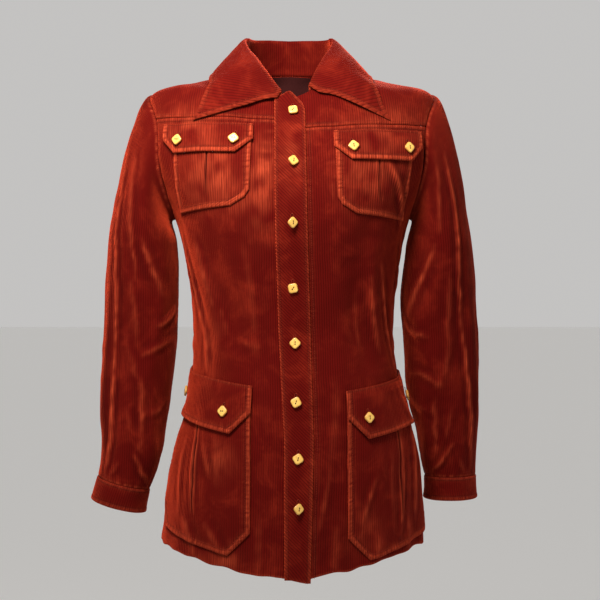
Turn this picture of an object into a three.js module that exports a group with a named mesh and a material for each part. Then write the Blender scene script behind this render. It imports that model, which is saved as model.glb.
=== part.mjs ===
import * as THREE from "three";

// A woman's corduroy jacket as it hangs when worn: hollow, buttoned, with the sleeves at its sides.
// Millimetres, +Z up, the front faces -Y. Right and left are the wearer's, so the right side is at -X.
// The origin is between the shoulders, at the level where the shoulder seams meet the neck.

// Cloth and seams
const CLOTH = 1.6; // one layer of corduroy
const BAND_CLOTH = 2.2; // folded band and flaps
const CUFF_CLOTH = 3; // two layers and their interlining
const COLLAR_CLOTH = 2.6;
const SEAM_GAP = 0.3;
const LAY_GAP = 0.7; // from the fronts to the band
const CHEST_GAP = 0.9; // from the round of the bust to the chest pockets and flaps
const HIP_GAP = 1; // from the hips to the hip pockets and flaps
const COLLAR_GAP = 0.9; // from the neck seam to the collar's stand
const COLLAR_CLEAR = 2.5; // from the yokes and the back to the middle of the collar's fall
const BUTTON_GAP = 0.8; // from the curved cloth to a flat button
const RIGHT = -1;
const LEFT = 1;

// The torso from the hem up: each ring has its height at the side, front and back, its half width, its
// depth in front of and behind the side, how square it is (2 is an ellipse) and where its middle lies.
const TORSO = [
  { name: "hem", side: -629, front: -659, back: -645, half: 181, fore: 131, aft: 140, square: 2.1, mid: 0 },
  { name: "hip", side: -520, front: -522, back: -520, half: 168, fore: 127, aft: 136, square: 2.1, mid: 4 },
  { name: "high hip", side: -430, front: -430, back: -430, half: 147, fore: 119, aft: 121, square: 2.1, mid: 6 },
  { name: "waist", side: -345, front: -345, back: -345, half: 140, fore: 109, aft: 104, square: 2.1, mid: 2 },
  { name: "ribs", side: -260, front: -262, back: -260, half: 146, fore: 117, aft: 103, square: 2.15, mid: 1 },
  { name: "underarm", side: -185, front: -190, back: -185, half: 163, fore: 127, aft: 108, square: 2.2, mid: 0 },
  { name: "chest", side: -110, front: -132, back: -118, half: 199, fore: 118, aft: 108, square: 2.3, mid: 0 },
  { name: "upper chest", side: -50, front: -85, back: -62, half: 202, fore: 98, aft: 98, square: 2.3, mid: 0 },
  { name: "shoulder", side: -10, front: -45, back: -20, half: 193, fore: 77, aft: 82, square: 2.3, mid: 0 },
  { name: "mid shoulder", side: 7, front: -33, back: 8, half: 125, fore: 68, aft: 70, square: 2.15, mid: -2 },
  { name: "neck", side: 18, front: -22, back: 26, half: 66, fore: 61, aft: 60, square: 2, mid: -4 },
];
const UNDERARM = 5;
const SHOULDER = 8;
const NECK = 10;

// Long soft folds of the body: angles from the centre front, heights, how far they stand out and how wide
const BODY_FOLDS = [
  { name: "right front, armhole to hip", from: -67, to: -47, top: -175, low: -392, out: 5, wide: 15 },
  { name: "right front, beside it", from: -50, to: -38, top: -215, low: -370, out: -3, wide: 16 },
  { name: "left front, waist", from: 47, to: 68, top: -215, low: -405, out: 5, wide: 14 },
  { name: "left front, beside it", from: 36, to: 52, top: -240, low: -395, out: -3, wide: 16 },
  { name: "left front, skirt", from: 17, to: 14, top: -440, low: -640, out: 3, wide: 18 },
  { name: "right side, skirt", from: -84, to: -88, top: -440, low: -655, out: 1.5, wide: 24 },
  { name: "left side, skirt", from: 78, to: 82, top: -430, low: -655, out: 4, wide: 22 },
  { name: "back, right of the middle", from: -158, to: -150, top: -225, low: -420, out: 5, wide: 20 },
  { name: "back, left of the middle", from: 155, to: 162, top: -205, low: -400, out: 4, wide: 18 },
  { name: "back, right shoulder blade", from: -128, to: -140, top: -110, low: -300, out: -4, wide: 22 },
  { name: "back, left shoulder blade", from: 126, to: 136, top: -120, low: -320, out: -4, wide: 22 },
  { name: "back, skirt", from: -168, to: -172, top: -470, low: -660, out: 5, wide: 26 },
];

// Each side's own heights and places: the left front hangs a little lower
const SIDES = {
  right: {
    sign: RIGHT,
    yokeSeam: -58,
    chestTop: -63,
    chestEdge: -53,
    hipTop: -404,
    hipEdge: -53,
    hipButton: 37,
  },
  left: {
    sign: LEFT,
    yokeSeam: -69,
    chestTop: -73,
    chestEdge: 58,
    hipTop: -411,
    hipEdge: 73,
    hipButton: 28,
  },
};

// The front band's centre line drifts a little to the left on its way down
const CENTRE_LINE = [
  { height: -20, x: -3 },
  { height: -200, x: 0 },
  { height: -340, x: 4 },
  { height: -480, x: 8 },
  { height: -660, x: 4 },
];
const BAND_WIDE = 42;
const BAND_LAP = 13; // how far the right front reaches under the band
const BAND_TAPER = 8; // how much narrower the band is at the hem, on its right
const TAPER_FROM = -330; // height at which it starts to narrow
const BAND_CORNER = { wide: 19, high: 27 }; // the rounded corner at the top of its left edge
const BAND_TOP = 9.75; // the band stops just below the neck seam

// Armhole and side seam
const ARMHOLE_WIDE = 21; // degrees on each side of the side line, before it narrows towards the shoulder
const ARMHOLE_NARROWS = 0.6;
const ARMHOLE_MIDDLE = -95; // height of its middle
const SIDE_SEAM_BACK = 6; // degrees that the side seam lies behind the side line lower down
const SIDE_SEAM_MOVES = 1.5; // ring levels below the underarm in which it gets there
const YOKE_SEAM_RISES = 8; // mm from the middle towards the side
const YOKE_SEAM_GAP = 0.008; // in ring levels, about 0.3 mm

// The sleeves from below the underarm to the cuff seam: ring centre, half width, half depth and tilt
const SLEEVES = {
  right: [
    { name: "bicep", z: -225, x: 209, y: 2, half: 47, deep: 59, tilt: 0 },
    { name: "above elbow", z: -292, x: 210, y: 4, half: 50, deep: 55, tilt: 0 },
    { name: "elbow", z: -362, x: 213, y: 3, half: 50.5, deep: 50, tilt: 0 },
    { name: "forearm", z: -436, x: 218, y: -3, half: 47, deep: 46, tilt: 3 },
    { name: "lower forearm", z: -500, x: 223, y: -9, half: 41, deep: 42, tilt: 9 },
    { name: "cuff seam", z: -549, x: 233, y: -13, half: 36, deep: 37, tilt: 15 },
  ],
  left: [
    { name: "bicep", z: -225, x: 206, y: 6, half: 46, deep: 59, tilt: 0 },
    { name: "above elbow", z: -292, x: 206, y: 14, half: 51.5, deep: 54, tilt: 0 },
    { name: "elbow", z: -362, x: 210, y: 23, half: 51.5, deep: 50, tilt: 0 },
    { name: "forearm", z: -436, x: 215.5, y: 31, half: 49.5, deep: 46, tilt: 0 },
    { name: "lower forearm", z: -500, x: 221.5, y: 39, half: 41, deep: 42, tilt: 0 },
    { name: "cuff seam", z: -546, x: 226, y: 44, half: 35.5, deep: 37, tilt: 1 },
  ],
};
// How strongly a sleeve's cap leaves the armhole and turns down into the arm, and how much it stands up
const CAP_START = { under: 45, top: 70 };
const CAP_END = { under: 70, top: 150 };
const CAP_LIFT = { under: 0.05, top: 0.35 };

const CUFF_HIGH = 33;
const CUFF_FLARE = 1.5; // how much wider the cuff is at its edge

// Sleeve folds: where they start and end along the rings above, the angle round the arm (0 is the inside,
// 90 the front, 180 the outside), how far they stand out and how wide
const SLEEVE_FOLDS = [
  { name: "outer front crease", top: 0.3, low: 5, from: 140, to: 148, out: 4, wide: 11 },
  { name: "beside the crease", top: 0.6, low: 3.6, from: 112, to: 108, out: -3, wide: 13 },
  { name: "inner elbow", top: 0.8, low: 3, from: 40, to: 78, out: 3.5, wide: 13 },
  { name: "forearm", top: 2.6, low: 4.9, from: 60, to: 36, out: 3, wide: 11 },
  { name: "back of the elbow", top: 1, low: 3.4, from: 262, to: 234, out: 4, wide: 15 },
  { name: "back, underarm", top: 0.3, low: 2, from: 318, to: 292, out: -3, wide: 13 },
];

// The collar from its front ends to the back: angle on the neck seam, where its outer edge lies (angle and
// ring level of the torso), how early its sections sweep round and fall, and how high it rolls over
const COLLAR = [
  { name: "front end", neck: 18, outer: 59, level: 7.03, sweep: 0.6, fall: 0.29, rise: 5 },
  { name: "front", neck: 34, outer: 59.5, level: 7.65, sweep: 0.7, fall: 0.45, rise: 26 },
  { name: "side front", neck: 58, outer: 66, level: 8.7, sweep: 0.85, fall: 0.75, rise: 39 },
  { name: "side", neck: 90, outer: 91, level: 9.25, sweep: 1, fall: 1, rise: 48 },
  { name: "side back", neck: 135, outer: 135, level: 8.65, sweep: 1, fall: 1, rise: 49 },
  { name: "back", neck: 180, outer: 180, level: 8.15, sweep: 1, fall: 1, rise: 48 },
];
const COLLAR_SHIFT = 9; // degrees that both front ends turn to the left, with the band
const FALL_CURVE = 1.15; // 1 falls straight from the roll to the edge
const ROLL_OUT = 3; // how far the fall stands off the stand at the back
const STAND_LEAN = 9; // how far the stand leans in towards the neck

// Pockets and flaps, from their top down: distances from the inner edge along the cloth, how far the row
// rises outwards in every 100 mm, and its lift off the panel
const CHEST_POCKET = [
  { name: "top, under the flap", drop: 22, inner: 0, outer: 103, climb: 2, lift: 0 },
  { name: "above the corners", drop: 90, inner: 2, outer: 111, climb: 0, lift: 0 },
  { name: "inner corner", drop: 99, inner: 8, outer: 112, climb: -3, lift: 0 },
  { name: "bottom", drop: 108, inner: 27, outer: 112, climb: -8, lift: 0 },
];
const CHEST_FLAP = [
  { name: "top seam", drop: 0, inner: -2, outer: 119, climb: 2, lift: 0 },
  { name: "over the pocket's edge", drop: 12, inner: -2, outer: 119, climb: 2, lift: 2.2 },
  { name: "corners", drop: 23, inner: -2, outer: 119, climb: 2, lift: 3 },
  { name: "bottom", drop: 41, inner: 21, outer: 103, climb: 2, lift: 4 },
];
const HIP_POCKET = [
  { name: "top, under the flap", drop: 24, inner: 0, outer: 168, climb: 14, lift: 0 },
  { name: "middle", drop: 110, inner: 0, outer: 169, climb: 14, lift: 0 },
  { name: "above the corners", drop: 198, inner: 1, outer: 168, climb: 18, lift: 0 },
  { name: "bottom", drop: 235, inner: 32, outer: 148, climb: 22, lift: 0 },
];
const HIP_FLAP = [
  { name: "top seam", drop: 6, inner: -2, outer: 170, climb: 14, lift: 0 },
  { name: "over the pocket's edge", drop: 19, inner: -2, outer: 170, climb: 14, lift: 2.2 },
  { name: "corners", drop: 42, inner: -1, outer: 169, climb: 14, lift: 3 },
  { name: "bottom", drop: 74, inner: 28, outer: 140, climb: 15, lift: 4 },
];

// Buttons: rounded squares
const BUTTON_SIDE = 12.5;
const BUTTON_ROUND = 3.4; // corner radius
const BUTTON_THICK = 3.2;
const BUTTON_BEVEL = 0.7;
const BUTTON_CORNER = [15, 45, 75]; // degrees at which a round corner has its points
const FRONT_BUTTONS = [
  { height: -45, x: 2, turn: 8 },
  { height: -117, x: 2, turn: 40 },
  { height: -196, x: 1, turn: 45 },
  { height: -281, x: 2, turn: 12 },
  { height: -354, x: 4.7, turn: 45 },
  { height: -431, x: 6, turn: 28 },
  { height: -504, x: 8.6, turn: 33 },
  { height: -568, x: 8.6, turn: 38 },
];
const CHEST_FLAP_BUTTONS = [
  { name: "inner", along: 23, drop: 24, turn: 57 },
  { name: "outer", along: 96, drop: 24, turn: 77 },
];
const HIP_FLAP_BUTTONS = [
  { name: "inner", drop: 46, turn: 75 },
  { name: "outer", along: 131, drop: 38, turn: 44 },
];

// Grid steps
const SKIRT_ROWS = 15; // hem to underarm
const FRONT_COLUMNS = 11;
const BACK_COLUMNS = 20;
const ARMHOLE_FRONT_STEPS = 7; // underarm to yoke seam
const ARMHOLE_YOKE_STEPS = 3; // yoke seam to shoulder
const SHOULDER_ROWS = 4; // shoulder point to neck
const CAP_ROWS = 6;
const SLEEVE_ROWS = 14;
const CUFF_ROWS = 2;
const COLLAR_STATIONS = 28;
const STAND_ROWS = 3;
const FALL_ROWS = 7;
const POCKET_COLUMNS = 9;
const POCKET_ROW = 15; // mm between rows of a pocket or a flap
const BAND_ROWS = 26;
const BAND_SHARES = [0, 0.33, 0.67, 1]; // places across the band
const WALK_STEPS = 8; // steps of a walk along the cloth
const HALVINGS = 24; // halvings of a search

const rad = THREE.MathUtils.degToRad;
const lerp = THREE.MathUtils.lerp;
const clamp = THREE.MathUtils.clamp;

// A smooth curve through a table's rows: the value of one named column at row number u.
function column(table, key, u) {
  const last = table.length - 1;
  const at = clamp(u, 0, last);
  const i = Math.min(Math.floor(at), last - 1);
  const f = at - i;
  const value = (k) => table[clamp(k, 0, last)][key];
  const [a, b, c, d] = [value(i - 1), value(i), value(i + 1), value(i + 2)];
  return b + 0.5 * f * (c - a + f * (2 * a - 5 * b + 4 * c - d + f * (3 * (b - c) + d - a)));
}

// A straight line through a table's rows, by a key that rises or falls from row to row.
function between(table, key, at, wanted) {
  const rising = table[1][key] > table[0][key];
  let i = 0;
  while (i < table.length - 2 && (rising ? at > table[i + 1][key] : at < table[i + 1][key])) i += 1;
  const f = clamp((at - table[i][key]) / (table[i + 1][key] - table[i][key]), 0, 1);
  return lerp(table[i][wanted], table[i + 1][wanted], f);
}

// A soft ridge's height at a distance across it, and its fading ends.
function ridge(fold, across, along) {
  if (along <= 0 || along >= 1) return 0;
  return fold.out * Math.exp(-((across / fold.wide) ** 2)) * Math.sin(Math.PI * along) ** 0.7;
}

// The smooth torso at an angle from the centre front (positive to the wearer's left) and a ring level.
function torsoBase(angle, level) {
  const s = Math.sin(rad(angle));
  const c = Math.cos(rad(angle));
  const ring = (key) => column(TORSO, key, level);
  const depth = c > 0 ? ring("fore") : ring("aft");
  const n = ring("square");
  const r = ((Math.abs(s) / ring("half")) ** n + (Math.abs(c) / depth) ** n) ** (-1 / n);
  const z = lerp(ring("side"), ring(c > 0 ? "front" : "back"), c * c);
  return new THREE.Vector3(ring("mid") + r * s, -r * c, z);
}

// The way that the cloth faces there.
function torsoNormal(angle, level) {
  const around = torsoBase(angle + 0.5, level).sub(torsoBase(angle - 0.5, level));
  const up = torsoBase(angle, Math.min(level + 0.02, NECK)).sub(torsoBase(angle, Math.max(level - 0.02, 0)));
  return around.cross(up).normalize();
}

// How far the body's folds push the cloth out there.
function bodyFold(angle, base) {
  const radius = Math.hypot(base.x, base.y);
  let sum = 0;
  for (const fold of BODY_FOLDS) {
    const along = (fold.top - base.z) / (fold.top - fold.low);
    const across = rad(angle - lerp(fold.from, fold.to, clamp(along, 0, 1))) * radius;
    sum += ridge(fold, across, along);
  }
  return sum;
}

// A point of the torso's outer face, moved out along the way it faces.
function torso(angle, level, out = 0) {
  const base = torsoBase(angle, level);
  return base.clone().addScaledVector(torsoNormal(angle, level), bodyFold(angle, base) + out);
}

// Halving search for the place where a rising function reaches zero.
function solve(low, high, rising) {
  let [a, b] = [low, high];
  for (let i = 0; i < HALVINGS; i += 1) {
    const middle = (a + b) / 2;
    if (rising(middle) < 0) a = middle;
    else b = middle;
  }
  return (a + b) / 2;
}

// The ring level at a height, and the angle of the front at an x.
const levelAt = (angle, z) => solve(0, NECK, (level) => torsoBase(angle, level).z - z);
const angleAt = (x, level) => solve(-80, 80, (angle) => torsoBase(angle, level).x - x);

// The front's angle and level at a place seen from in front.
function frontPlace(x, z) {
  let level = levelAt(0, z);
  let angle = 0;
  for (let i = 0; i < 5; i += 1) {
    angle = angleAt(x, level);
    level = levelAt(angle, z);
  }
  return { angle, level };
}

// The place reached by a walk along the cloth at one height, away from the centre front.
function walk(sign, x, z, distance) {
  let { angle } = frontPlace(x, z);
  const place = (a) => torsoBase(a, levelAt(a, z));
  for (let i = 0; i < WALK_STEPS; i += 1) {
    const degreesPerMm = 1 / place(angle + 0.5).distanceTo(place(angle - 0.5));
    angle += (sign * distance * degreesPerMm) / WALK_STEPS;
  }
  return { angle, level: levelAt(angle, z) };
}

// Closed cloth from two grids of points, one for each face; a tube's grid closes on itself.
function wall(outer, inner, tube = false) {
  const rows = outer.length;
  const columns = outer[0].length;
  const points = [...outer.flat(), ...inner.flat()];
  const faces = [];
  const at = (side, i, j) => side * rows * columns + i * columns + (j % columns);
  const quad = (a, b, c, d) => faces.push(a, b, c, a, c, d);
  const spans = tube ? columns : columns - 1;
  for (let i = 0; i < rows - 1; i += 1) {
    for (let j = 0; j < spans; j += 1) {
      quad(at(0, i, j), at(0, i, j + 1), at(0, i + 1, j + 1), at(0, i + 1, j));
      quad(at(1, i, j), at(1, i + 1, j), at(1, i + 1, j + 1), at(1, i, j + 1));
    }
  }
  for (let j = 0; j < spans; j += 1) {
    quad(at(0, 0, j + 1), at(0, 0, j), at(1, 0, j), at(1, 0, j + 1));
    quad(at(0, rows - 1, j), at(0, rows - 1, j + 1), at(1, rows - 1, j + 1), at(1, rows - 1, j));
  }
  for (let i = 0; i < rows - 1 && !tube; i += 1) {
    quad(at(0, i, 0), at(0, i + 1, 0), at(1, i + 1, 0), at(1, i, 0));
    quad(at(0, i + 1, columns - 1), at(0, i, columns - 1), at(1, i, columns - 1), at(1, i + 1, columns - 1));
  }
  return outward(points, faces);
}

// A geometry from points and triangles, turned so that its faces point out.
function outward(points, faces) {
  let volume = 0;
  for (let i = 0; i < faces.length; i += 3) {
    const [a, b, c] = [points[faces[i]], points[faces[i + 1]], points[faces[i + 2]]];
    volume += a.dot(b.clone().cross(c));
  }
  if (volume < 0) faces.reverse();
  const geometry = new THREE.BufferGeometry().setFromPoints(points);
  geometry.setIndex(faces);
  geometry.computeVertexNormals();
  return geometry;
}

// Cloth of one thickness with a grid of points in its middle.
function sheet(middle, thickness, tube = false) {
  const rows = middle.length;
  const columns = middle[0].length;
  const step = (j) => (tube ? (j + columns) % columns : clamp(j, 0, columns - 1));
  const shifted = (offset) =>
    middle.map((row, i) =>
      row.map((point, j) => {
        const across = row[step(j + 1)].clone().sub(row[step(j - 1)]);
        const down = middle[Math.min(i + 1, rows - 1)][j].clone().sub(middle[Math.max(i - 1, 0)][j]);
        return point.clone().addScaledVector(across.cross(down).normalize(), offset);
      }),
    );
  return wall(shifted(thickness / 2), shifted(-thickness / 2), tube);
}

// Cloth that lies on the torso: places are rows of { angle, level, lift }.
function laidOn(places, gap, thickness) {
  const face = (out) => places.map((row) => row.map((p) => torso(p.angle, p.level, out + (p.lift ?? 0))));
  return wall(face(gap + thickness), face(gap));
}

// The armhole: turn is 0 at the underarm and 180 at the shoulder, in front of (-1) or behind (1) the side.
function armhole(sign, face, turn) {
  const up = (1 - Math.cos(rad(turn))) / 2;
  const wide = ARMHOLE_WIDE * Math.sin(rad(turn)) * (1 - ARMHOLE_NARROWS * up * up);
  return { angle: sign * (90 + face * wide), level: lerp(UNDERARM, SHOULDER, up) };
}

// The side seam's angle, the yoke seam's level and the x of the front band's centre line.
const sideSeam = (sign, level) =>
  sign * (90 + SIDE_SEAM_BACK * clamp((UNDERARM - level) / SIDE_SEAM_MOVES, 0, 1));
const yokeSeam = (side, angle) =>
  levelAt(angle, side.yokeSeam + YOKE_SEAM_RISES * Math.abs(Math.sin(rad(angle))));
const centreLine = (z) => between(CENTRE_LINE, "height", z, "x");

// The angle of a line that runs beside the front band's centre line.
function bandAngle(level, beside) {
  const z = torsoBase(0, level).z;
  return angleAt(centreLine(z) + beside, level);
}

// A sideways gap as degrees at that place.
const gapAngle = (angle, level, gap) => gap / (rad(1) * torsoBase(angle, level).setZ(0).length());

// The turn at which an armhole meets its yoke seam.
function yokeTurn(side) {
  return solve(60, 170, (turn) => {
    const place = armhole(side.sign, -1, turn);
    return place.level - yokeSeam(side, place.angle);
  });
}

// One row of places between two angles, at a level that may depend on the angle.
function placeRow(from, to, columns, levelOf) {
  return Array.from({ length: columns + 1 }, (_, j) => {
    const angle = lerp(from, to, j / columns);
    return { angle, level: levelOf(angle) };
  });
}

// The edge of each front under the band: the right front stops at its lap, the left one starts beside it.
function frontEdge(sign, level) {
  const angle = bandAngle(level, -BAND_WIDE / 2 + BAND_LAP);
  return angle + (sign * gapAngle(angle, level, SEAM_GAP)) / 2;
}

// Levels from the hem to the underarm, shared by the fronts and the back so that their seams match.
const SKIRT_LEVELS = Array.from({ length: SKIRT_ROWS + 1 }, (_, i) => (UNDERARM * i) / SKIRT_ROWS);

// A front from the hem to just under its yoke seam.
function frontPlaces(side) {
  const { sign } = side;
  const rows = SKIRT_LEVELS.map((level) => {
    const seam = sideSeam(sign, level);
    const end = seam - (sign * gapAngle(seam, level, SEAM_GAP)) / 2;
    return placeRow(frontEdge(sign, level), end, FRONT_COLUMNS, () => level);
  });
  const meets = yokeTurn(side);
  for (let i = 1; i <= ARMHOLE_FRONT_STEPS; i += 1) {
    const edge = armhole(sign, -1, (meets * i) / ARMHOLE_FRONT_STEPS);
    const share = (edge.level - UNDERARM) / (yokeSeam(side, edge.angle) - UNDERARM);
    const levelOf = (angle) => lerp(UNDERARM, yokeSeam(side, angle) - YOKE_SEAM_GAP / 2, share);
    rows.push(placeRow(frontEdge(sign, levelOf(0)), edge.angle, FRONT_COLUMNS, levelOf));
  }
  return rows;
}

// A front yoke from its seam over the shoulder to the shoulder seam and the neck.
function yokePlaces(side) {
  const { sign } = side;
  const rows = [];
  const meets = yokeTurn(side);
  for (let i = 0; i <= ARMHOLE_YOKE_STEPS; i += 1) {
    const edge = armhole(sign, -1, lerp(meets, 180, i / ARMHOLE_YOKE_STEPS));
    const seam = yokeSeam(side, edge.angle);
    const share = (edge.level - seam) / (SHOULDER - seam);
    const levelOf = (angle) => lerp(yokeSeam(side, angle) + YOKE_SEAM_GAP / 2, SHOULDER, share);
    const end = i < ARMHOLE_YOKE_STEPS ? edge.angle : shoulderSeam(sign, SHOULDER, -1);
    rows.push(placeRow(frontEdge(sign, levelOf(0)), end, FRONT_COLUMNS, levelOf));
  }
  for (let i = 1; i <= SHOULDER_ROWS; i += 1) {
    const level = lerp(SHOULDER, NECK, i / SHOULDER_ROWS);
    rows.push(placeRow(frontEdge(sign, level), shoulderSeam(sign, level, -1), FRONT_COLUMNS, () => level));
  }
  return rows;
}

// The shoulder seam's angle, half a seam gap in front of (-1) or behind (1) the side line.
function shoulderSeam(sign, level, face) {
  return sign * (90 + (face * gapAngle(90 * sign, level, SEAM_GAP)) / 2);
}

// The back from the hem to the shoulder seams and the neck.
function backPlaces() {
  const rows = SKIRT_LEVELS.map((level) => {
    const seam = sideSeam(LEFT, level);
    const start = seam + gapAngle(seam, level, SEAM_GAP) / 2;
    return placeRow(start, 360 - start, BACK_COLUMNS, () => level);
  });
  const steps = ARMHOLE_FRONT_STEPS + ARMHOLE_YOKE_STEPS;
  for (let i = 1; i <= steps; i += 1) {
    const edge = armhole(LEFT, 1, (180 * i) / steps);
    const start = i < steps ? edge.angle : shoulderSeam(LEFT, SHOULDER, 1);
    rows.push(placeRow(start, 360 - start, BACK_COLUMNS, () => edge.level));
  }
  for (let i = 1; i <= SHOULDER_ROWS; i += 1) {
    const level = lerp(SHOULDER, NECK, i / SHOULDER_ROWS);
    const start = shoulderSeam(LEFT, level, 1);
    rows.push(placeRow(start, 360 - start, BACK_COLUMNS, () => level));
  }
  return rows;
}

// The turns and faces round an armhole, from the underarm up the front and down the back, shared by the
// fronts, the yokes, the back and the sleeve.
function armholeTurns(side) {
  const meets = yokeTurn(side);
  const turns = [];
  for (let i = 0; i < ARMHOLE_FRONT_STEPS; i += 1) {
    turns.push({ face: -1, turn: (meets * i) / ARMHOLE_FRONT_STEPS });
  }
  for (let i = 0; i < ARMHOLE_YOKE_STEPS; i += 1) {
    turns.push({ face: -1, turn: lerp(meets, 180, i / ARMHOLE_YOKE_STEPS) });
  }
  const steps = ARMHOLE_FRONT_STEPS + ARMHOLE_YOKE_STEPS;
  for (let i = steps; i > 0; i -= 1) turns.push({ face: 1, turn: (180 * i) / steps });
  return turns;
}

// A point of a sleeve ring (a row number of its table) at an angle round the arm.
function armRing(rings, sign, u, around, out = 0) {
  const c = Math.cos(rad(around));
  const s = Math.sin(rad(around));
  const ring = (key) => column(rings, key, u);
  const wide = ring("half") + out;
  const tilt = rad(ring("tilt"));
  const x = sign * (ring("x") - wide * c * Math.cos(tilt));
  const y = ring("y") - (ring("deep") + out) * s;
  return new THREE.Vector3(x, y, ring("z") - wide * c * Math.sin(tilt));
}

// How far the sleeve's folds push it out there.
function sleeveFold(rings, u, around) {
  const radius = (column(rings, "half", u) + column(rings, "deep", u)) / 2;
  let sum = 0;
  for (const fold of SLEEVE_FOLDS) {
    const along = (u - fold.top) / (fold.low - fold.top);
    const across = rad(around - lerp(fold.from, fold.to, clamp(along, 0, 1))) * radius;
    sum += ridge(fold, across, along);
  }
  return sum;
}

// The middle of the cloth round the armhole, the way into the hole there, and the way the cap leaves.
function capStart(side, { face, turn }, thickness) {
  const around = face < 0 ? turn : 360 - turn;
  const middle = (at) => {
    const wrapped = (at + 360) % 360;
    const place = wrapped <= 180 ? armhole(side.sign, -1, wrapped) : armhole(side.sign, 1, 360 - wrapped);
    return torso(place.angle, place.level, -thickness / 2);
  };
  const place = armhole(side.sign, face, turn);
  const point = middle(around);
  const inwards = new THREE.Vector3(point.x, 0, ARMHOLE_MIDDLE).sub(point);
  const run = middle(around + 2).sub(middle(around - 2));
  const into = torsoNormal(place.angle, place.level).cross(run).normalize();
  if (into.dot(inwards) < 0) into.negate();
  const up = (1 - Math.cos(rad(turn))) / 2;
  const lift = lerp(CAP_LIFT.under, CAP_LIFT.top, up);
  const leaves = new THREE.Vector3(side.sign, 0, 0);
  leaves.addScaledVector(inwards.setX(0).normalize(), -lift).normalize();
  const bend = Math.sqrt(Math.max(0, 1 - Math.max(0, leaves.dot(into)) ** 2));
  point.addScaledVector(into, SEAM_GAP + (bend * thickness) / 2);
  return { point, leaves, up };
}

// A sleeve's middle: the cap from the armhole to the first ring, then down the rings.
function sleeveRows(side, rings, turns) {
  const rows = [];
  const arounds = turns.map(({ face, turn }) => (face < 0 ? turn : 360 - turn));
  const starts = turns.map((at) => capStart(side, at, CLOTH));
  for (let i = 0; i < CAP_ROWS; i += 1) {
    const f = i / CAP_ROWS;
    rows.push(
      starts.map(({ point, leaves, up }, j) => {
        const end = armRing(rings, side.sign, 0, arounds[j]);
        const down = armRing(rings, side.sign, 0.2, arounds[j]).sub(end).normalize();
        const from = leaves.clone().multiplyScalar(lerp(CAP_START.under, CAP_START.top, up));
        const to = down.multiplyScalar(lerp(CAP_END.under, CAP_END.top, up));
        return point
          .clone()
          .multiplyScalar(2 * f ** 3 - 3 * f ** 2 + 1)
          .addScaledVector(from, f ** 3 - 2 * f ** 2 + f)
          .addScaledVector(end, 3 * f ** 2 - 2 * f ** 3)
          .addScaledVector(to, f ** 3 - f ** 2);
      }),
    );
  }
  for (let i = 0; i <= SLEEVE_ROWS; i += 1) {
    const u = ((rings.length - 1) * i) / SLEEVE_ROWS;
    rows.push(arounds.map((around) => armRing(rings, side.sign, u, around, sleeveFold(rings, u, around))));
  }
  return rows;
}

// A cuff's middle: it follows the sleeve's last ring down, square to it.
function cuffRows(side, rings, turns) {
  const last = rings.length - 1;
  const tilt = rad(rings[last].tilt);
  const axis = new THREE.Vector3(side.sign * Math.sin(tilt), 0, -Math.cos(tilt));
  return Array.from({ length: CUFF_ROWS + 1 }, (_, i) => {
    const f = i / CUFF_ROWS;
    return turns.map(({ face, turn }) => {
      const around = face < 0 ? turn : 360 - turn;
      const point = armRing(rings, side.sign, last, around, CUFF_FLARE * f);
      return point.addScaledVector(axis, SEAM_GAP + f * CUFF_HIGH);
    });
  });
}

// The collar's middle: up the stand, over the roll and down to the outer edge.
function collarRows() {
  const rows = [];
  const up = new THREE.Vector3(0, 0, 1);
  for (let i = 0; i <= COLLAR_STATIONS; i += 1) {
    const across = (2 * i) / COLLAR_STATIONS - 1;
    const sign = across < 0 ? -1 : 1;
    const station = (key) => column(COLLAR, key, (1 - Math.abs(across)) * (COLLAR.length - 1));
    const neck = sign * station("neck") + COLLAR_SHIFT * Math.abs(across) ** 4;
    const outer = sign * station("outer");
    const rise = station("rise");
    const share = rise / COLLAR[COLLAR.length - 1].rise;
    const row = [];
    for (let k = 0; k < STAND_ROWS; k += 1) {
      const f = k / STAND_ROWS;
      const point = torso(neck, NECK, lerp(COLLAR_GAP, COLLAR_CLEAR, f)).addScaledVector(up, rise * f);
      row.push(point.addScaledVector(torsoNormal(neck, NECK).setZ(0).normalize(), -STAND_LEAN * share * f));
    }
    for (let k = 0; k <= FALL_ROWS; k += 1) {
      const s = k / FALL_ROWS;
      const angle = lerp(neck, outer, s ** station("sweep"));
      const level = lerp(NECK, station("level"), s ** station("fall"));
      const away = torsoNormal(angle, level).setZ(0).normalize();
      const out = ROLL_OUT * Math.sin(Math.PI * s ** 0.6) - STAND_LEAN * (1 - s) ** 2;
      const point = torso(angle, level, COLLAR_CLEAR).addScaledVector(up, rise * (1 - s ** FALL_CURVE));
      row.push(point.addScaledVector(away, share * out));
    }
    rows.push(row);
  }
  return rows;
}

// Rows of places for a pocket or a flap, from its table.
function pocketPlaces(side, table, edge, top) {
  const rows = [];
  const height = table[table.length - 1].drop - table[0].drop;
  const steps = Math.max(table.length - 1, Math.round(height / POCKET_ROW));
  const drops = new Set(table.map((row) => row.drop));
  for (let i = 1; i < steps; i += 1) {
    const drop = table[0].drop + (height * i) / steps;
    if (table.every((row) => Math.abs(row.drop - drop) > POCKET_ROW / 2)) drops.add(drop);
  }
  for (const drop of [...drops].sort((a, b) => a - b)) {
    const inner = between(table, "drop", drop, "inner");
    const outer = between(table, "drop", drop, "outer");
    rows.push(
      Array.from({ length: POCKET_COLUMNS + 1 }, (_, j) =>
        pocketPlace(side, table, edge, top, lerp(inner, outer, j / POCKET_COLUMNS), drop),
      ),
    );
  }
  return rows;
}

// One place of a pocket or a flap: along from its inner edge, and down from its top.
function pocketPlace(side, table, edge, top, along, drop) {
  const z = top - drop + (between(table, "drop", drop, "climb") * along) / 100;
  return { ...walk(side.sign, edge, z, along), lift: between(table, "drop", drop, "lift") };
}

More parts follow.
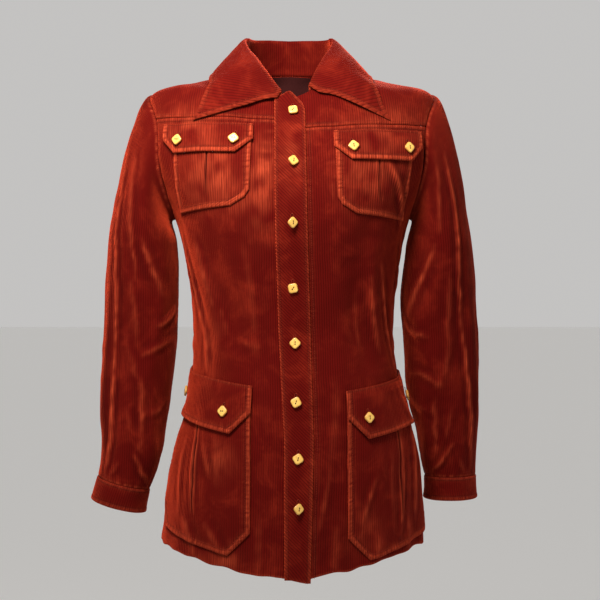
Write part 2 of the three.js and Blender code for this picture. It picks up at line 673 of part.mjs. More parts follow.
// The front band's rows, from the hem to just below the neck: it narrows towards the hem, and its top left
// corner is round.
function bandPlaces() {
  const top = torsoBase(0, BAND_TOP).z;
  const hem = torsoBase(0, 0).z;
  const rows = [];
  for (let i = 0; i <= BAND_ROWS; i += 1) {
    const level = (BAND_TOP * i) / BAND_ROWS;
    const { z } = torsoBase(0, level);
    const taper = BAND_TAPER * clamp((TAPER_FROM - z) / (TAPER_FROM - hem), 0, 1);
    const up = clamp(1 - (top - z) / BAND_CORNER.high, 0, 1);
    const right = taper - BAND_WIDE / 2;
    const left = BAND_WIDE / 2 - BAND_CORNER.wide * (1 - Math.sqrt(1 - up * up));
    rows.push(BAND_SHARES.map((share) => ({ angle: bandAngle(level, lerp(right, left, share)), level })));
  }
  return rows;
}

// A button: a square with round corners, bevelled on its face.
function buttonGeometry() {
  const flat = BUTTON_SIDE / 2;
  const ring = (inset, z) =>
    [0, 90, 180, 270].flatMap((quarter) =>
      BUTTON_CORNER.map((a) => {
        const corner = flat - BUTTON_ROUND;
        const radius = BUTTON_ROUND - inset;
        const [x, y] = [corner + radius * Math.cos(rad(a)), corner + radius * Math.sin(rad(a))];
        return new THREE.Vector3(x, y, z).applyAxisAngle(new THREE.Vector3(0, 0, 1), rad(quarter));
      }),
    );
  const levels = [
    ring(BUTTON_BEVEL, 0),
    ring(0, BUTTON_BEVEL),
    ring(0, BUTTON_THICK - BUTTON_BEVEL),
    ring(BUTTON_BEVEL, BUTTON_THICK),
  ];
  const size = levels[0].length;
  const points = [...levels.flat(), new THREE.Vector3(0, 0, 0), new THREE.Vector3(0, 0, BUTTON_THICK)];
  const faces = [];
  for (let j = 0; j < size; j += 1) {
    const next = (j + 1) % size;
    for (let i = 0; i < levels.length - 1; i += 1) {
      const [a, b, c, d] = [i * size + j, i * size + next, (i + 1) * size + next, (i + 1) * size + j];
      faces.push(a, b, c, a, c, d);
    }
    faces.push(levels.length * size, next, j);
    const top = (levels.length - 1) * size;
    faces.push(levels.length * size + 1, top + j, top + next);
  }
  return outward(points, faces);
}

const corduroy = new THREE.MeshStandardMaterial({ color: 0x8a1a10, roughness: 0.95, metalness: 0 });
const gold = new THREE.MeshStandardMaterial({ color: 0xebc864, roughness: 0.25, metalness: 0 });
const jacket = new THREE.Group();

// One named piece of the jacket.
function add(name, geometry, material = corduroy) {
  const mesh = new THREE.Mesh(geometry, material);
  mesh.name = name;
  jacket.add(mesh);
  return mesh;
}

// A button on the cloth: it stands square to the cloth, turned about its own middle.
function addButton(name, place, out, turn) {
  const mesh = add(name, buttonGeometry(), gold);
  const facing = torsoNormal(place.angle, place.level);
  mesh.position.copy(torso(place.angle, place.level, out));
  mesh.quaternion.setFromUnitVectors(new THREE.Vector3(0, 0, 1), facing);
  mesh.rotateZ(rad(turn));
}

// A sleeve and its cuff.
function addSleeve(name, side) {
  const rings = SLEEVES[name];
  const turns = armholeTurns(side);
  add(`sleeve_${name}`, sheet(sleeveRows(side, rings, turns), CLOTH, true));
  add(`cuff_${name}`, sheet(cuffRows(side, rings, turns), CUFF_CLOTH, true));
}

// A pocket, its flap and the flap's buttons.
function addPocket(kind, name, side, { pocket, flap, edge, top, gap, buttons }) {
  add(`${kind}_pocket_${name}`, laidOn(pocketPlaces(side, pocket, edge, top), gap, CLOTH));
  add(`${kind}_flap_${name}`, laidOn(pocketPlaces(side, flap, edge, top), gap, BAND_CLOTH));
  for (const button of buttons) {
    const place = pocketPlace(side, flap, edge, top, button.along ?? side.hipButton, button.drop);
    const out = gap + BAND_CLOTH + place.lift + BUTTON_GAP;
    addButton(`${kind}_button_${name}_${button.name}`, place, out, button.turn * side.sign);
  }
}

for (const [name, side] of Object.entries(SIDES)) {
  add(`front_${name}`, laidOn(frontPlaces(side), -CLOTH, CLOTH));
  add(`front_yoke_${name}`, laidOn(yokePlaces(side), -CLOTH, CLOTH));
  addSleeve(name, side);
  addPocket("chest", name, side, {
    pocket: CHEST_POCKET,
    flap: CHEST_FLAP,
    edge: side.chestEdge,
    top: side.chestTop,
    gap: CHEST_GAP,
    buttons: CHEST_FLAP_BUTTONS,
  });
  addPocket("hip", name, side, {
    pocket: HIP_POCKET,
    flap: HIP_FLAP,
    edge: side.hipEdge,
    top: side.hipTop,
    gap: HIP_GAP,
    buttons: HIP_FLAP_BUTTONS,
  });
}
add("back", laidOn(backPlaces(), -CLOTH, CLOTH));
add("placket", laidOn(bandPlaces(), LAY_GAP, BAND_CLOTH));
add("collar", sheet(collarRows(), COLLAR_CLOTH));
FRONT_BUTTONS.forEach((button, i) => {
  const place = frontPlace(button.x, button.height);
  addButton(`button_${i + 1}`, place, LAY_GAP + BAND_CLOTH + BUTTON_GAP, button.turn);
});

export default jacket;
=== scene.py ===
"""A woman's corduroy jacket as it hangs when worn: its looks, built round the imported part.

Lengths are millimetres until a mesh is made. The front faces -Y, +Z is up, and right and left are the
wearer's, so the right side is at -X. The origin is between the shoulders, level with the neck ends of the
shoulder seams.
"""

from __future__ import annotations

import logging
import math
from collections.abc import Callable
from dataclasses import dataclass, field
from enum import Enum

import bmesh
import bpy
import numpy as np
from mathutils import Matrix, Vector

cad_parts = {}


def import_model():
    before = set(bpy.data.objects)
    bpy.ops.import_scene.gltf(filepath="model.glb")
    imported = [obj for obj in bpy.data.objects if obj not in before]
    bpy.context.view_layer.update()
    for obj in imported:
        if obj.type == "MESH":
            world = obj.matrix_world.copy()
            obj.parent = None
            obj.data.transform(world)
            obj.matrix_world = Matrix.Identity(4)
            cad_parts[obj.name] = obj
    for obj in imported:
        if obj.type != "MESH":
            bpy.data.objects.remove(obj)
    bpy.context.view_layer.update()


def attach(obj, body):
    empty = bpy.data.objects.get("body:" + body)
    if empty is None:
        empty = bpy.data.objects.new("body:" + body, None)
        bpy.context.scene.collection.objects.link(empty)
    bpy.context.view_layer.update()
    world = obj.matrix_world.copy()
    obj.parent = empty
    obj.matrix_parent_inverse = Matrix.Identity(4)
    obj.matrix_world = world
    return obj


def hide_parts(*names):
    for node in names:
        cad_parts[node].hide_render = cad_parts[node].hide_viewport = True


log = logging.getLogger("jacket")

Array = np.ndarray
MM = 0.001
BODY = "root"

UNDERARM = 5
SHOULDER = 8
NECK = 10

# Cloth thicknesses and gaps, as in the part
CLOTH = 1.6
BAND_CLOTH = 2.2
CUFF_CLOTH = 3.0
COLLAR_CLOTH = 2.6
SEAM_GAP = 0.3
BAND_GAP = 0.7
CHEST_GAP = 0.9
HIP_GAP = 1.0
COLLAR_GAP = 0.9
COLLAR_CLEAR = 2.5
BUTTON_GAP = 0.8

MESH_STEP = 3.0  # mm between grid lines of the cloth
EDGE_MARKS = (0.0, 0.35, 0.9, 1.7)  # mm from an edge at which the grid has extra lines
BODY_SEARCH = 26  # halvings of a search
PLACE_ROUNDS = 5  # times that an angle and a level are found from each other
WALK_STEPS = 8  # steps along the cloth to a distance
SEAM_ROUNDS = 4  # times that a grid is laid before it meets the yoke seam

CREASE_PLACES = 17  # points along a crease's line
CREASE_FADE_SEED = 300
CREASE_HIGHLIGHT_SEED = 500
FULL_CREST_LIGHT = 2.9  # mm that a crease stands out where its crest gets the full painted highlight, with some pile rubbing
DIAGONAL = 0.7071
THREAD_SEED = 40  # of the buttonholes


class Side(Enum):
    """The wearer's right or left."""

    RIGHT = -1
    LEFT = 1

    @property
    def word(self) -> str:
        """The side as it stands in a piece's name."""
        return self.name.lower()


@dataclass(frozen=True)
class Ring:
    """One level of the torso: its heights, its half width and depths, how square it is, and its middle."""

    side: float
    front: float
    back: float
    half: float
    fore: float
    aft: float
    square: float
    middle: float


@dataclass(frozen=True)
class ArmRing:
    """One level of a sleeve: its centre, half width, half depth and tilt."""

    z: float
    x: float
    y: float
    half: float
    deep: float
    tilt: float


@dataclass(frozen=True)
class Fold:
    """A long soft fold: where it starts and ends, how far it stands out, and how wide it is."""

    start: float
    end: float
    top: float
    low: float
    out: float
    wide: float


@dataclass(frozen=True)
class Crease:
    """A short crease as a bent line through three places, each an angle and a height or ring number."""

    start: tuple[float, float]
    bend: tuple[float, float]
    end: tuple[float, float]
    out: float
    wide: float

    def path(self) -> Array:
        """Places along the bent line."""
        t = np.linspace(0, 1, CREASE_PLACES)[:, None]
        start, bend, end = np.array(self.start), np.array(self.bend), np.array(self.end)
        return (1 - t) ** 2 * start + 2 * t * (1 - t) * bend + t**2 * end


@dataclass(frozen=True)
class Station:
    """One cross-section of the collar: neck angle, outer angle and level, how it sweeps, falls and rises."""

    neck: float
    outer: float
    level: float
    sweep: float
    fall: float
    rise: float


@dataclass(frozen=True)
class CutRow:
    """A level of a pocket or flap: drop from its top, inner and outer ends, climb and lift."""

    drop: float
    inner: float
    outer: float
    climb: float
    lift: float


@dataclass(frozen=True)
class ButtonPlace:
    """A button of the front band: height, x, turn about its middle and how far it leans to the left."""

    height: float
    x: float
    turn: float
    lean: float = 0.0


@dataclass(frozen=True)
class Seam:
    """How the cloth sinks into a seam: how deep and wide, and how high it puckers beside it."""

    depth: float
    wide: float
    pucker: float


@dataclass(frozen=True)
class StitchRow:
    """A row of stitches: how far inside an edge, the swell, the groove, the ripples, and how much lighter the
    pile gets by abrasion and painted highlight.
    """

    inset: float
    pillow: float
    groove: float
    pucker: float
    worn: float = 0.2


TORSO_RINGS = (
    Ring(-629, -659, -645, 181, 131, 140, 2.1, 0),
    Ring(-520, -522, -520, 168, 127, 136, 2.1, 4),
    Ring(-430, -430, -430, 147, 119, 121, 2.1, 6),
    Ring(-345, -345, -345, 140, 109, 104, 2.1, 2),
    Ring(-260, -262, -260, 146, 117, 103, 2.15, 1),
    Ring(-185, -190, -185, 163, 127, 108, 2.2, 0),
    Ring(-110, -132, -118, 199, 118, 108, 2.3, 0),
    Ring(-50, -85, -62, 202, 98, 98, 2.3, 0),
    Ring(-10, -45, -20, 193, 77, 82, 2.3, 0),
    Ring(7, -33, 8, 125, 68, 70, 2.15, -2),
    Ring(18, -22, 26, 66, 61, 60, 2, -4),
)

# Long soft folds of the body: angles from the centre front
BODY_FOLDS = (
    Fold(-67, -47, -175, -392, 5, 15),
    Fold(-50, -38, -215, -370, -3, 16),
    Fold(47, 68, -215, -405, 5, 14),
    Fold(36, 52, -240, -395, -3, 16),
    Fold(17, 14, -440, -640, 3, 18),
    Fold(-84, -88, -440, -655, 1.5, 24),
    Fold(78, 82, -430, -655, 4, 22),
    Fold(-158, -150, -225, -420, 5, 20),
    Fold(155, 162, -205, -400, 4, 18),
    Fold(-128, -140, -110, -300, -4, 22),
    Fold(126, 136, -120, -320, -4, 22),
    Fold(-168, -172, -470, -660, 5, 26),
)

# Places on the front where the pile is lighter, partly brushed pile and partly painted highlight: x, z, half
# width, half height, how much
BRUSHED_AND_LIT_PLACES = (
    (-99, -122, 20, 26, 0.5),
    (-120, -135, 22, 40, 0.3),
    (-84, -160, 22, 20, 0.35),
    (-38, -125, 15, 34, 0.55),
    (-40, -180, 22, 40, 0.25),
    (3, -110, 13, 36, 0.3),
    (120, -120, 30, 40, 0.3),
    (85, -140, 26, 40, 0.25),
    (-140, -62, 40, 24, 0.4),
    (125, -62, 50, 24, 0.32),
    (-92, -511, 17, 20, 0.3),
    (-96, -640, 26, 12, 0.4),
    (95, -600, 22, 30, 0.2),
    (-110, -350, 16, 60, 0.18),
)

# Shorter creases: angle from the centre front, and height
BODY_CREASES = (
    # right front, from the armhole down past the waist
    Crease((-73, -195), (-76, -265), (-62, -348), 2.8, 5),
    Crease((-63, -335), (-61, -362), (-62, -394), 2.2, 4.5),
    Crease((-60, -205), (-58, -265), (-50, -330), 1.8, 5),
    Crease((-54, -262), (-49, -300), (-45, -345), 1.2, 4.5),
    Crease((-30, -215), (-25, -300), (-27, -380), 0.9, 8),
    # right hip, down the pocket
    Crease((-61, -468), (-60, -520), (-55, -582), 2.2, 3.8),
    Crease((-55, -486), (-52, -508), (-47, -536), 1.8, 3.6),
    Crease((-49, -470), (-45, -500), (-44, -545), 1.0, 4.5),
    Crease((-70, -480), (-69, -530), (-66, -590), 1.6, 5),
    Crease((-40, -345), (-30, -362), (-18, -358), 0.8, 6),
    # short drag lines between the chest pocket and the band
    Crease((-22, -72), (-17, -74), (-13, -71), 0.9, 3),
    Crease((-23, -86), (-17, -89), (-13, -88), 1.0, 3),
    Crease((-24, -98), (-18, -103), (-13, -101), 0.9, 3),
    Crease((-23, -112), (-17, -116), (-13, -119), 0.9, 3),
    Crease((-21, -126), (-20, -142), (-17, -160), 1.2, 4),
    Crease((-24, -122), (-24, -138), (-22, -150), 1.0, 3),
    Crease((-15, -135), (-14, -150), (-15, -168), 0.7, 4),
    # left front, beside the band and down to the waist
    Crease((21, -118), (27, -119), (33, -114), 0.8, 3),
    Crease((22, -132), (26, -137), (32, -136), 0.8, 3.5),
    Crease((24, -142), (25, -155), (24, -168), 0.9, 3.5),
    Crease((52, -112), (60, -155), (71, -205), 2.8, 4.5),
    Crease((57, -245), (66, -326), (75, -398), 3.0, 4.8),
    Crease((50, -262), (53, -315), (60, -372), 1.8, 4.5),
    Crease((42, -285), (44, -325), (46, -372), 1.0, 5),
    Crease((72, -190), (81, -240), (84, -305), 2.4, 5),
    Crease((26, -395), (25, -450), (20, -520), 0.8, 9),
    Crease((21, -515), (18, -560), (14, -605), 1.3, 4.5),
    # left hip, down the pocket
    Crease((66, -482), (63, -545), (60, -618), 2.4, 4),
    Crease((77, -440), (74, -520), (72, -600), 2.6, 4.5),
    Crease((57, -500), (55, -545), (56, -590), 1.2, 4),
    Crease((47, -528), (42, -560), (38, -594), 1.5, 4),
    Crease((70, -410), (72, -440), (76, -468), 1.6, 4),
    # skirt and hem
    Crease((-50, -590), (-43, -612), (-36, -640), 1.6, 7),
    Crease((-62, -585), (-57, -610), (-54, -640), 2.0, 7),
    Crease((-38, -600), (-33, -620), (-31, -650), 1.2, 6),
    Crease((-20, -575), (-19, -610), (-19, -655), 0.9, 9),
    Crease((24, -590), (25, -620), (24, -655), 1.2, 8),
    Crease((46, -600), (48, -622), (47, -648), 1.4, 8),
    Crease((66, -585), (67, -612), (66, -640), 1.6, 8),
    # right and left sides, under the arms
    Crease((-86, -195), (-83, -240), (-79, -300), 1.8, 7),
    Crease((-101, -200), (-98, -250), (-96, -320), 1.5, 7),
    Crease((88, -195), (85, -245), (80, -305), 1.8, 7),
    Crease((103, -205), (99, -260), (97, -330), 1.5, 7),
    Crease((-94, -345), (-84, -362), (-74, -366), 1.4, 6),
    Crease((95, -348), (86, -368), (76, -372), 1.4, 6),
    Crease((-98, -430), (-96, -500), (-95, -590), 1.4, 9),
    Crease((97, -420), (96, -500), (94, -600), 1.4, 9),
    # back, over the small of the back and across the shoulders
    Crease((-118, -352), (-140, -366), (-163, -358), 1.5, 7),
    Crease((120, -345), (142, -362), (166, -352), 1.4, 7),
    Crease((-112, -330), (-128, -338), (-146, -336), 1.0, 6),
    Crease((114, -325), (132, -335), (150, -330), 1.0, 6),
    Crease((-118, -150), (-135, -125), (-160, -112), 1.1, 8),
    Crease((119, -155), (138, -130), (163, -117), 1.1, 8),
    Crease((-150, -240), (-148, -310), (-152, -385), 1.4, 8),
    Crease((152, -235), (154, -300), (158, -375), 1.3, 8),
    Crease((-175, -215), (-172, -290), (-176, -350), 0.9, 8),
    Crease((-140, -470), (-142, -540), (-139, -625), 1.5, 10),
    Crease((138, -460), (141, -545), (140, -630), 1.4, 10),
    Crease((-172, -500), (-174, -570), (-171, -640), 1.2, 11),
    Crease((172, -520), (169, -590), (172, -645), 1.2, 10),
)


@dataclass(frozen=True)
class SideCut:
    """One side's own heights and places: the left front hangs a little lower."""

    side: Side
    yoke_seam: float
    chest_top: float
    chest_edge: float
    hip_top: float
    hip_edge: float
    hip_button: float


SIDE_CUTS = (
    SideCut(Side.RIGHT, -58, -63, -53, -404, -53, 37),
    SideCut(Side.LEFT, -69, -73, 58, -411, 73, 28),
)

# The front band's centre line: heights and how far it stands to the left
CENTRE_HEIGHTS = (-660.0, -480.0, -340.0, -200.0, -20.0)
CENTRE_PLACES = (4.0, 8.0, 4.0, 0.0, -3.0)

SLEEVE_RINGS = {
    Side.RIGHT: (
        ArmRing(-225, 209, 2, 47, 59, 0),
        ArmRing(-292, 210, 4, 50, 55, 0),
        ArmRing(-362, 213, 3, 50.5, 50, 0),
        ArmRing(-436, 218, -3, 47, 46, 3),
        ArmRing(-500, 223, -9, 41, 42, 9),
        ArmRing(-549, 233, -13, 36, 37, 15),
    ),
    Side.LEFT: (
        ArmRing(-225, 206, 6, 46, 59, 0),
        ArmRing(-292, 206, 14, 51.5, 54, 0),
        ArmRing(-362, 210, 23, 51.5, 50, 0),
        ArmRing(-436, 215.5, 31, 49.5, 46, 0),
        ArmRing(-500, 221.5, 39, 41, 42, 0),
        ArmRing(-546, 226, 44, 35.5, 37, 1),
    ),
}

# Sleeve folds: angles round the arm (0 is the inside, 90 the front), between two rings
SLEEVE_FOLDS = (
    Fold(140, 148, 0.3, 5, 4, 11),
    Fold(112, 108, 0.6, 3.6, -3, 13),
    Fold(40, 78, 0.8, 3, 3.5, 13),
    Fold(60, 36, 2.6, 4.9, 3, 11),
    Fold(262, 234, 1, 3.4, 4, 15),
    Fold(318, 292, 0.3, 2, -3, 13),
)

# Each sleeve's own shorter creases: angle round the arm, and ring number (below 0 is the cap)
SLEEVE_FRONT_CREASES = {
    Side.RIGHT: (
        Crease((136, -0.9), (125, 0.6), (124, 2.3), 3.2, 3.6),
        Crease((125, 2.0), (125, 3.2), (129, 4.9), 3.0, 3.4),
        Crease((118, -1.0), (98, -0.2), (90, 0.9), 1.8, 4),
        Crease((86, -0.2), (70, 0.5), (48, 1.0), 2.0, 5.5),
        Crease((104, 0.5), (92, 1.3), (86, 2.2), 1.3, 5),
        Crease((16, 1.2), (36, 1.55), (64, 1.6), 2.2, 4.5),
        Crease((24, 1.9), (52, 1.9), (84, 2.2), 1.6, 5),
        Crease((77, 2.5), (72, 3.4), (65, 4.1), 2.0, 4.5),
        Crease((80, 4.05), (56, 4.5), (22, 4.85), 2.2, 3.4),
    ),
    Side.LEFT: (
        Crease((114, -1.0), (114, 0.2), (120, 1.7), 3.2, 3.6),
        Crease((121, 1.5), (131, 3.0), (136, 4.9), 3.1, 3.6),
        Crease((88, -1.2), (84, -0.7), (82, -0.2), 1.6, 3.6),
        Crease((78, -0.1), (56, 0.8), (28, 1.5), 2.2, 5.5),
        Crease((106, 0.2), (100, 1.2), (92, 2.4), 1.4, 5),
        Crease((18, 1.4), (42, 1.8), (70, 1.8), 2.0, 4.5),
        Crease((26, 2.5), (56, 2.4), (88, 2.8), 1.7, 5),
        Crease((70, 2.9), (66, 3.7), (58, 4.4), 1.8, 4.5),
        Crease((96, 3.9), (74, 4.4), (40, 4.8), 2.0, 3.6),
    ),
}

# Shorter creases that both sleeves have
SLEEVE_CREASES = (
    Crease((168, 0.4), (163, 1.8), (166, 3.1), 1.2, 5),
    Crease((112, 1.6), (92, 2.4), (70, 2.9), 1.0, 5),
    Crease((24, 2.9), (44, 3.3), (70, 3.2), 1.3, 5),
    Crease((98, 3.1), (84, 3.8), (62, 4.2), 1.1, 4.5),
    Crease((104, 4.3), (112, 4.6), (122, 4.9), 1.2, 4),
    Crease((200, 0.2), (205, 1.6), (198, 3.0), 1.4, 6.5),
    Crease((214, 1.6), (232, 2.2), (256, 2.2), 2.0, 6.5),
    Crease((210, 2.5), (236, 2.7), (262, 2.5), 1.8, 5),
    Crease((284, 1.2), (262, 1.7), (238, 1.6), 1.5, 6),
    Crease((322, 0.1), (300, 0.8), (276, 1.1), 2.0, 6.5),
    Crease((338, 1.4), (316, 2.1), (290, 2.4), 1.9, 6),
    Crease((330, 2.6), (308, 3.1), (282, 3.3), 1.5, 5),
    Crease((300, 3.6), (286, 4.2), (268, 4.8), 1.7, 5),
    Crease((226, 3.4), (234, 4.1), (230, 4.9), 1.5, 5),
)

COLLAR_STATIONS = (
    Station(18, 59, 7.03, 0.6, 0.29, 5),
    Station(34, 59.5, 7.65, 0.7, 0.45, 26),
    Station(58, 66, 8.7, 0.85, 0.75, 39),
    Station(90, 91, 9.25, 1, 1, 48),
    Station(135, 135, 8.65, 1, 1, 49),
    Station(180, 180, 8.15, 1, 1, 48),
)

CHEST_POCKET = (
    CutRow(22, 0, 103, 2, 0),
    CutRow(90, 2, 111, 0, 0),
    CutRow(99, 8, 112, -3, 0),
    CutRow(108, 27, 112, -8, 0),
)
CHEST_FLAP = (
    CutRow(0, -2, 119, 2, 0),
    CutRow(12, -2, 119, 2, 2.2),
    CutRow(23, -2, 119, 2, 3),
    CutRow(41, 21, 103, 2, 4),
)
HIP_POCKET = (
    CutRow(24, 0, 168, 14, 0),
    CutRow(110, 0, 169, 14, 0),
    CutRow(198, 1, 168, 18, 0),
    CutRow(235, 32, 148, 22, 0),
)
HIP_FLAP = (
    CutRow(6, -2, 170, 14, 0),
    CutRow(19, -2, 170, 14, 2.2),
    CutRow(42, -1, 169, 14, 3),
    CutRow(74, 28, 140, 15, 4),
)

FRONT_BUTTONS = (
    ButtonPlace(-45, 2, 8),
    ButtonPlace(-117, 2, 40, 24),
    ButtonPlace(-196, 1, 45, 32),
    ButtonPlace(-281, 2, 12),
    ButtonPlace(-354, 4.7, 45),
    ButtonPlace(-431, 6, 28),
    ButtonPlace(-504, 8.6, 33),
    ButtonPlace(-568, 8.6, 38, 30),
)

SIDE_SEAM = Seam(0.9, 2.0, 0.22)
YOKE_SEAM = Seam(0.9, 1.8, 0.2)
ARMHOLE_SEAM = Seam(0.4, 2.0, 0.3)
YOKE_ARMHOLE_SEAM = Seam(0.35, 2.0, 0.3)
YOKE_SHOULDER_SEAM = Seam(0.5, 1.9, 0.15)
BACK_SHOULDER_SEAM = Seam(0.9, 1.9, 0.15)
SLEEVE_CAP_SEAM = Seam(0.35, 2.0, 0.5)
SLEEVE_CUFF_SEAM = Seam(0.9, 1.8, 0.3)
UNDERARM_SEAM = Seam(0.8, 1.8, 0.25)
CUFF_SEAM = Seam(1.0, 1.6, 0.3)

FRONT_TOP_ROW = StitchRow(5.0, 0.1, 0.28, 0.2)
YOKE_ROW = StitchRow(4.5, 0.3, 0.4, 0.25)
BAND_ROW = StitchRow(4.0, 0.3, 0.45, 0.3)
FLAP_TOP_ROW = StitchRow(2.2, 0.2, 0.4, 0.2)
CUFF_ROW = StitchRow(5.5, 0.5, 0.5, 0.4)
CUFF_TOP_ROW = StitchRow(3.4, 0.2, 0.4, 0.25)
COLLAR_ROW = StitchRow(6.5, 0.8, 0.6, 0.45)

# The button's profile: inset from its edge, and height
BUTTON_PROFILE = (
    (1.6, 0.0),
    (0.5, 0.25),
    (0.0, 0.95),
    (0.0, 2.0),
    (0.3, 2.6),
    (0.8, 2.95),
    (1.5, 3.12),
    (2.3, 3.18),
    (3.2, 3.2),
    (4.4, 3.2),
    (5.6, 3.2),
)

# The flaps' buttons: pocket, which one, place along the flap (None is the side's own), drop and turn
FLAP_BUTTONS = (
    ("chest", "inner", 23.0, 24.0, 57.0),
    ("chest", "outer", 96.0, 24.0, 77.0),
    ("hip", "inner", None, 46.0, 75.0),
    ("hip", "outer", 131.0, 38.0, 44.0),
)


# Plain arithmetic on tables and lines


def smooth_column(values: Array, at: Array) -> Array:
    """A smooth curve through a column of values.

    Args:
        values: the column.
        at: row numbers, whole or between rows.

    Returns:
        The value at each row number.
    """
    last = len(values) - 1
    u = np.clip(at, 0, last)
    i = np.minimum(np.floor(u).astype(int), last - 1)
    f = u - i
    a, b, c, d = (values[np.clip(i + k, 0, last)] for k in (-1, 0, 1, 2))
    return b + 0.5 * f * (c - a + f * (2 * a - 5 * b + 4 * c - d + f * (3 * (b - c) + d - a)))


def columns_of(rows: tuple) -> dict[str, Array]:
    """The columns of a table of dataclass rows, by name."""
    return {key: np.array([getattr(row, key) for row in rows], float) for key in vars(rows[0])}


def bell(gap: Array, wide: float) -> Array:
    """A smooth hump: 1 where the gap is 0, and near 0 beyond twice the width."""
    return np.exp(-((gap / wide) ** 2))


def unit(ways: Array) -> Array:
    """Ways made one long."""
    return ways / np.linalg.norm(ways, axis=-1, keepdims=True)


def length_of(line: Array) -> float:
    """The length of a line of points."""
    return np.linalg.norm(np.diff(line, axis=0), axis=1).sum()


def between(start: Array, end: Array, shares: Array) -> Array:
    """Rows of values at shares of the way from a start to an end."""
    return start[:, None] + (end - start)[:, None] * shares


def spread(values: Array, shares: Array) -> Array:
    """A column of values, repeated for each share."""
    return np.repeat(values[:, None], len(shares), 1)


def search(low: Array, high: Array, below: Callable[[Array], Array]) -> Array:
    """The place where a test turns from true to false.

    Args:
        low: where the test is true.
        high: where it is false.
        below: the test.

    Returns:
        The place, found by halving.
    """
    for _ in range(BODY_SEARCH):
        middle = (low + high) / 2
        under = below(middle)
        low, high = np.where(under, middle, low), np.where(under, high, middle)
    return (low + high) / 2


def graded(length: float, step: float, extra: tuple[float, ...] = ()) -> Array:
    """Shares of a length that lie close together at both ends and at the extra places.

    Args:
        length: the length in mm.
        step: the even spacing in mm.
        extra: places in mm with more lines round them.

    Returns:
        Shares from 0 to 1.
    """
    ends = np.array(EDGE_MARKS)
    even = np.linspace(ends[-1], length - ends[-1], max(3, round((length - 2 * ends[-1]) / step) + 1))
    marks = [ends, even, length - ends]
    marks += [at + np.array([-2.4, -1.4, -0.7, -0.25, 0.25, 0.7, 1.4, 2.4]) for at in extra]
    found = np.unique(np.clip(np.concatenate(marks), 0, length).round(3))
    keep = np.concatenate([[True], np.diff(found) > 0.15])
    keep[-1] = True
    return found[keep] / length


def nearest_on_line(points: Array, line: Array) -> tuple[Array, Array]:
    """How far points lie from a line, and where on it each is nearest.

    Args:
        points: any grid of points.
        line: the line's points in order.

    Returns:
        The distance of each point, and how far along the line its nearest place is.
    """
    flat = points.reshape(-1, 3)
    step = np.diff(line, axis=0)
    length = np.maximum(np.linalg.norm(step, axis=1), 1e-9)
    along = np.concatenate([[0.0], np.cumsum(length)])
    square = (flat**2).sum(1)[:, None] - 2 * flat @ line.T + (line**2).sum(1)
    nearest = np.argmin(square, axis=1)
    best = np.full(len(flat), np.inf)
    place = np.zeros(len(flat))
    for shift in (-1, 0):
        k = np.clip(nearest + shift, 0, len(step) - 1)
        t = np.clip(((flat - line[k]) * step[k]).sum(1) / length[k] ** 2, 0, 1)
        gap = np.linalg.norm(flat - line[k] - step[k] * t[:, None], axis=1)
        closer = gap < best
        best = np.where(closer, gap, best)
        place = np.where(closer, along[k] + t * length[k], place)
    shape = points.shape[:-1]
    return best.reshape(shape), place.reshape(shape)


def waves(along: Array, seed: int, lengths: tuple[float, ...]) -> Array:
    """An uneven ripple between about -1 and 1 along a line.

    Args:
        along: places on the line in mm.
        seed: which ripple it is.
        lengths: the wave lengths that are mixed, in mm.

    Returns:
        The ripple's height at each place.
    """
    rng = np.random.default_rng(seed)
    total = np.zeros_like(along)
    for length in lengths:
        phase, share = rng.uniform(0, 2 * math.pi), rng.uniform(0.6, 1.0)
        slow = 0.5 + 0.5 * np.sin(2 * math.pi * along / (length * rng.uniform(4, 7)) + phase * 2)
        total += share * slow * np.sin(2 * math.pi * along / length + phase)
    return total / (0.6 * len(lengths))


def unevenness(points: Array, seed: int, length: float, stretch: float = 1.0) -> Array:
    """Smooth random height between about -1 and 1 at points in space.

    Args:
        points: the points in mm.
        seed: which pattern it is.
        length: the usual wave length in mm.
        stretch: how much longer the waves are upright than sideways.

    Returns:
        The height at each point.
    """
    rng = np.random.default_rng(seed)
    ways = rng.normal(size=(14, 3))
    ways /= np.linalg.norm(ways, axis=1)[:, None]
    ways *= (2 * math.pi / (length * rng.uniform(0.7, 1.6, 14)))[:, None]
    ways[:, 2] /= stretch
    phases = rng.uniform(0, 2 * math.pi, 14)
    return np.sin(points @ ways.T + phases).sum(-1) / math.sqrt(14)


def grid_facing(points: Array, tube: bool) -> Array:
    """The way that a grid of points faces, square to its rows and columns."""
    if tube:
        ring = np.concatenate([points[:, -2:-1], points, points[:, 1:2]], axis=1)
        across = ring[:, 2:] - ring[:, :-2]
    else:
        across = np.gradient(points, axis=1)
    facing = np.cross(across, np.gradient(points, axis=0))
    return facing / np.maximum(np.linalg.norm(facing, axis=-1, keepdims=True), 1e-9)


def tube_facing(points: Array) -> Array:
    """The way that a closed tube of points faces outwards."""
    facing = grid_facing(points, True)
    outward = points - points.mean(axis=1, keepdims=True)
    return facing * np.sign((facing * outward).sum(-1).mean())


def lengths_along(points: Array, axis: int) -> Array:
    """How far each point of a grid lies along its column (axis 0) or its row (axis 1)."""
    steps = np.linalg.norm(np.diff(points, axis=axis), axis=-1)
    start = np.zeros_like(steps[:1] if axis == 0 else steps[:, :1])
    return np.concatenate([start, np.cumsum(steps, axis=axis)], axis=axis)


# The figure that gives the cloth its form


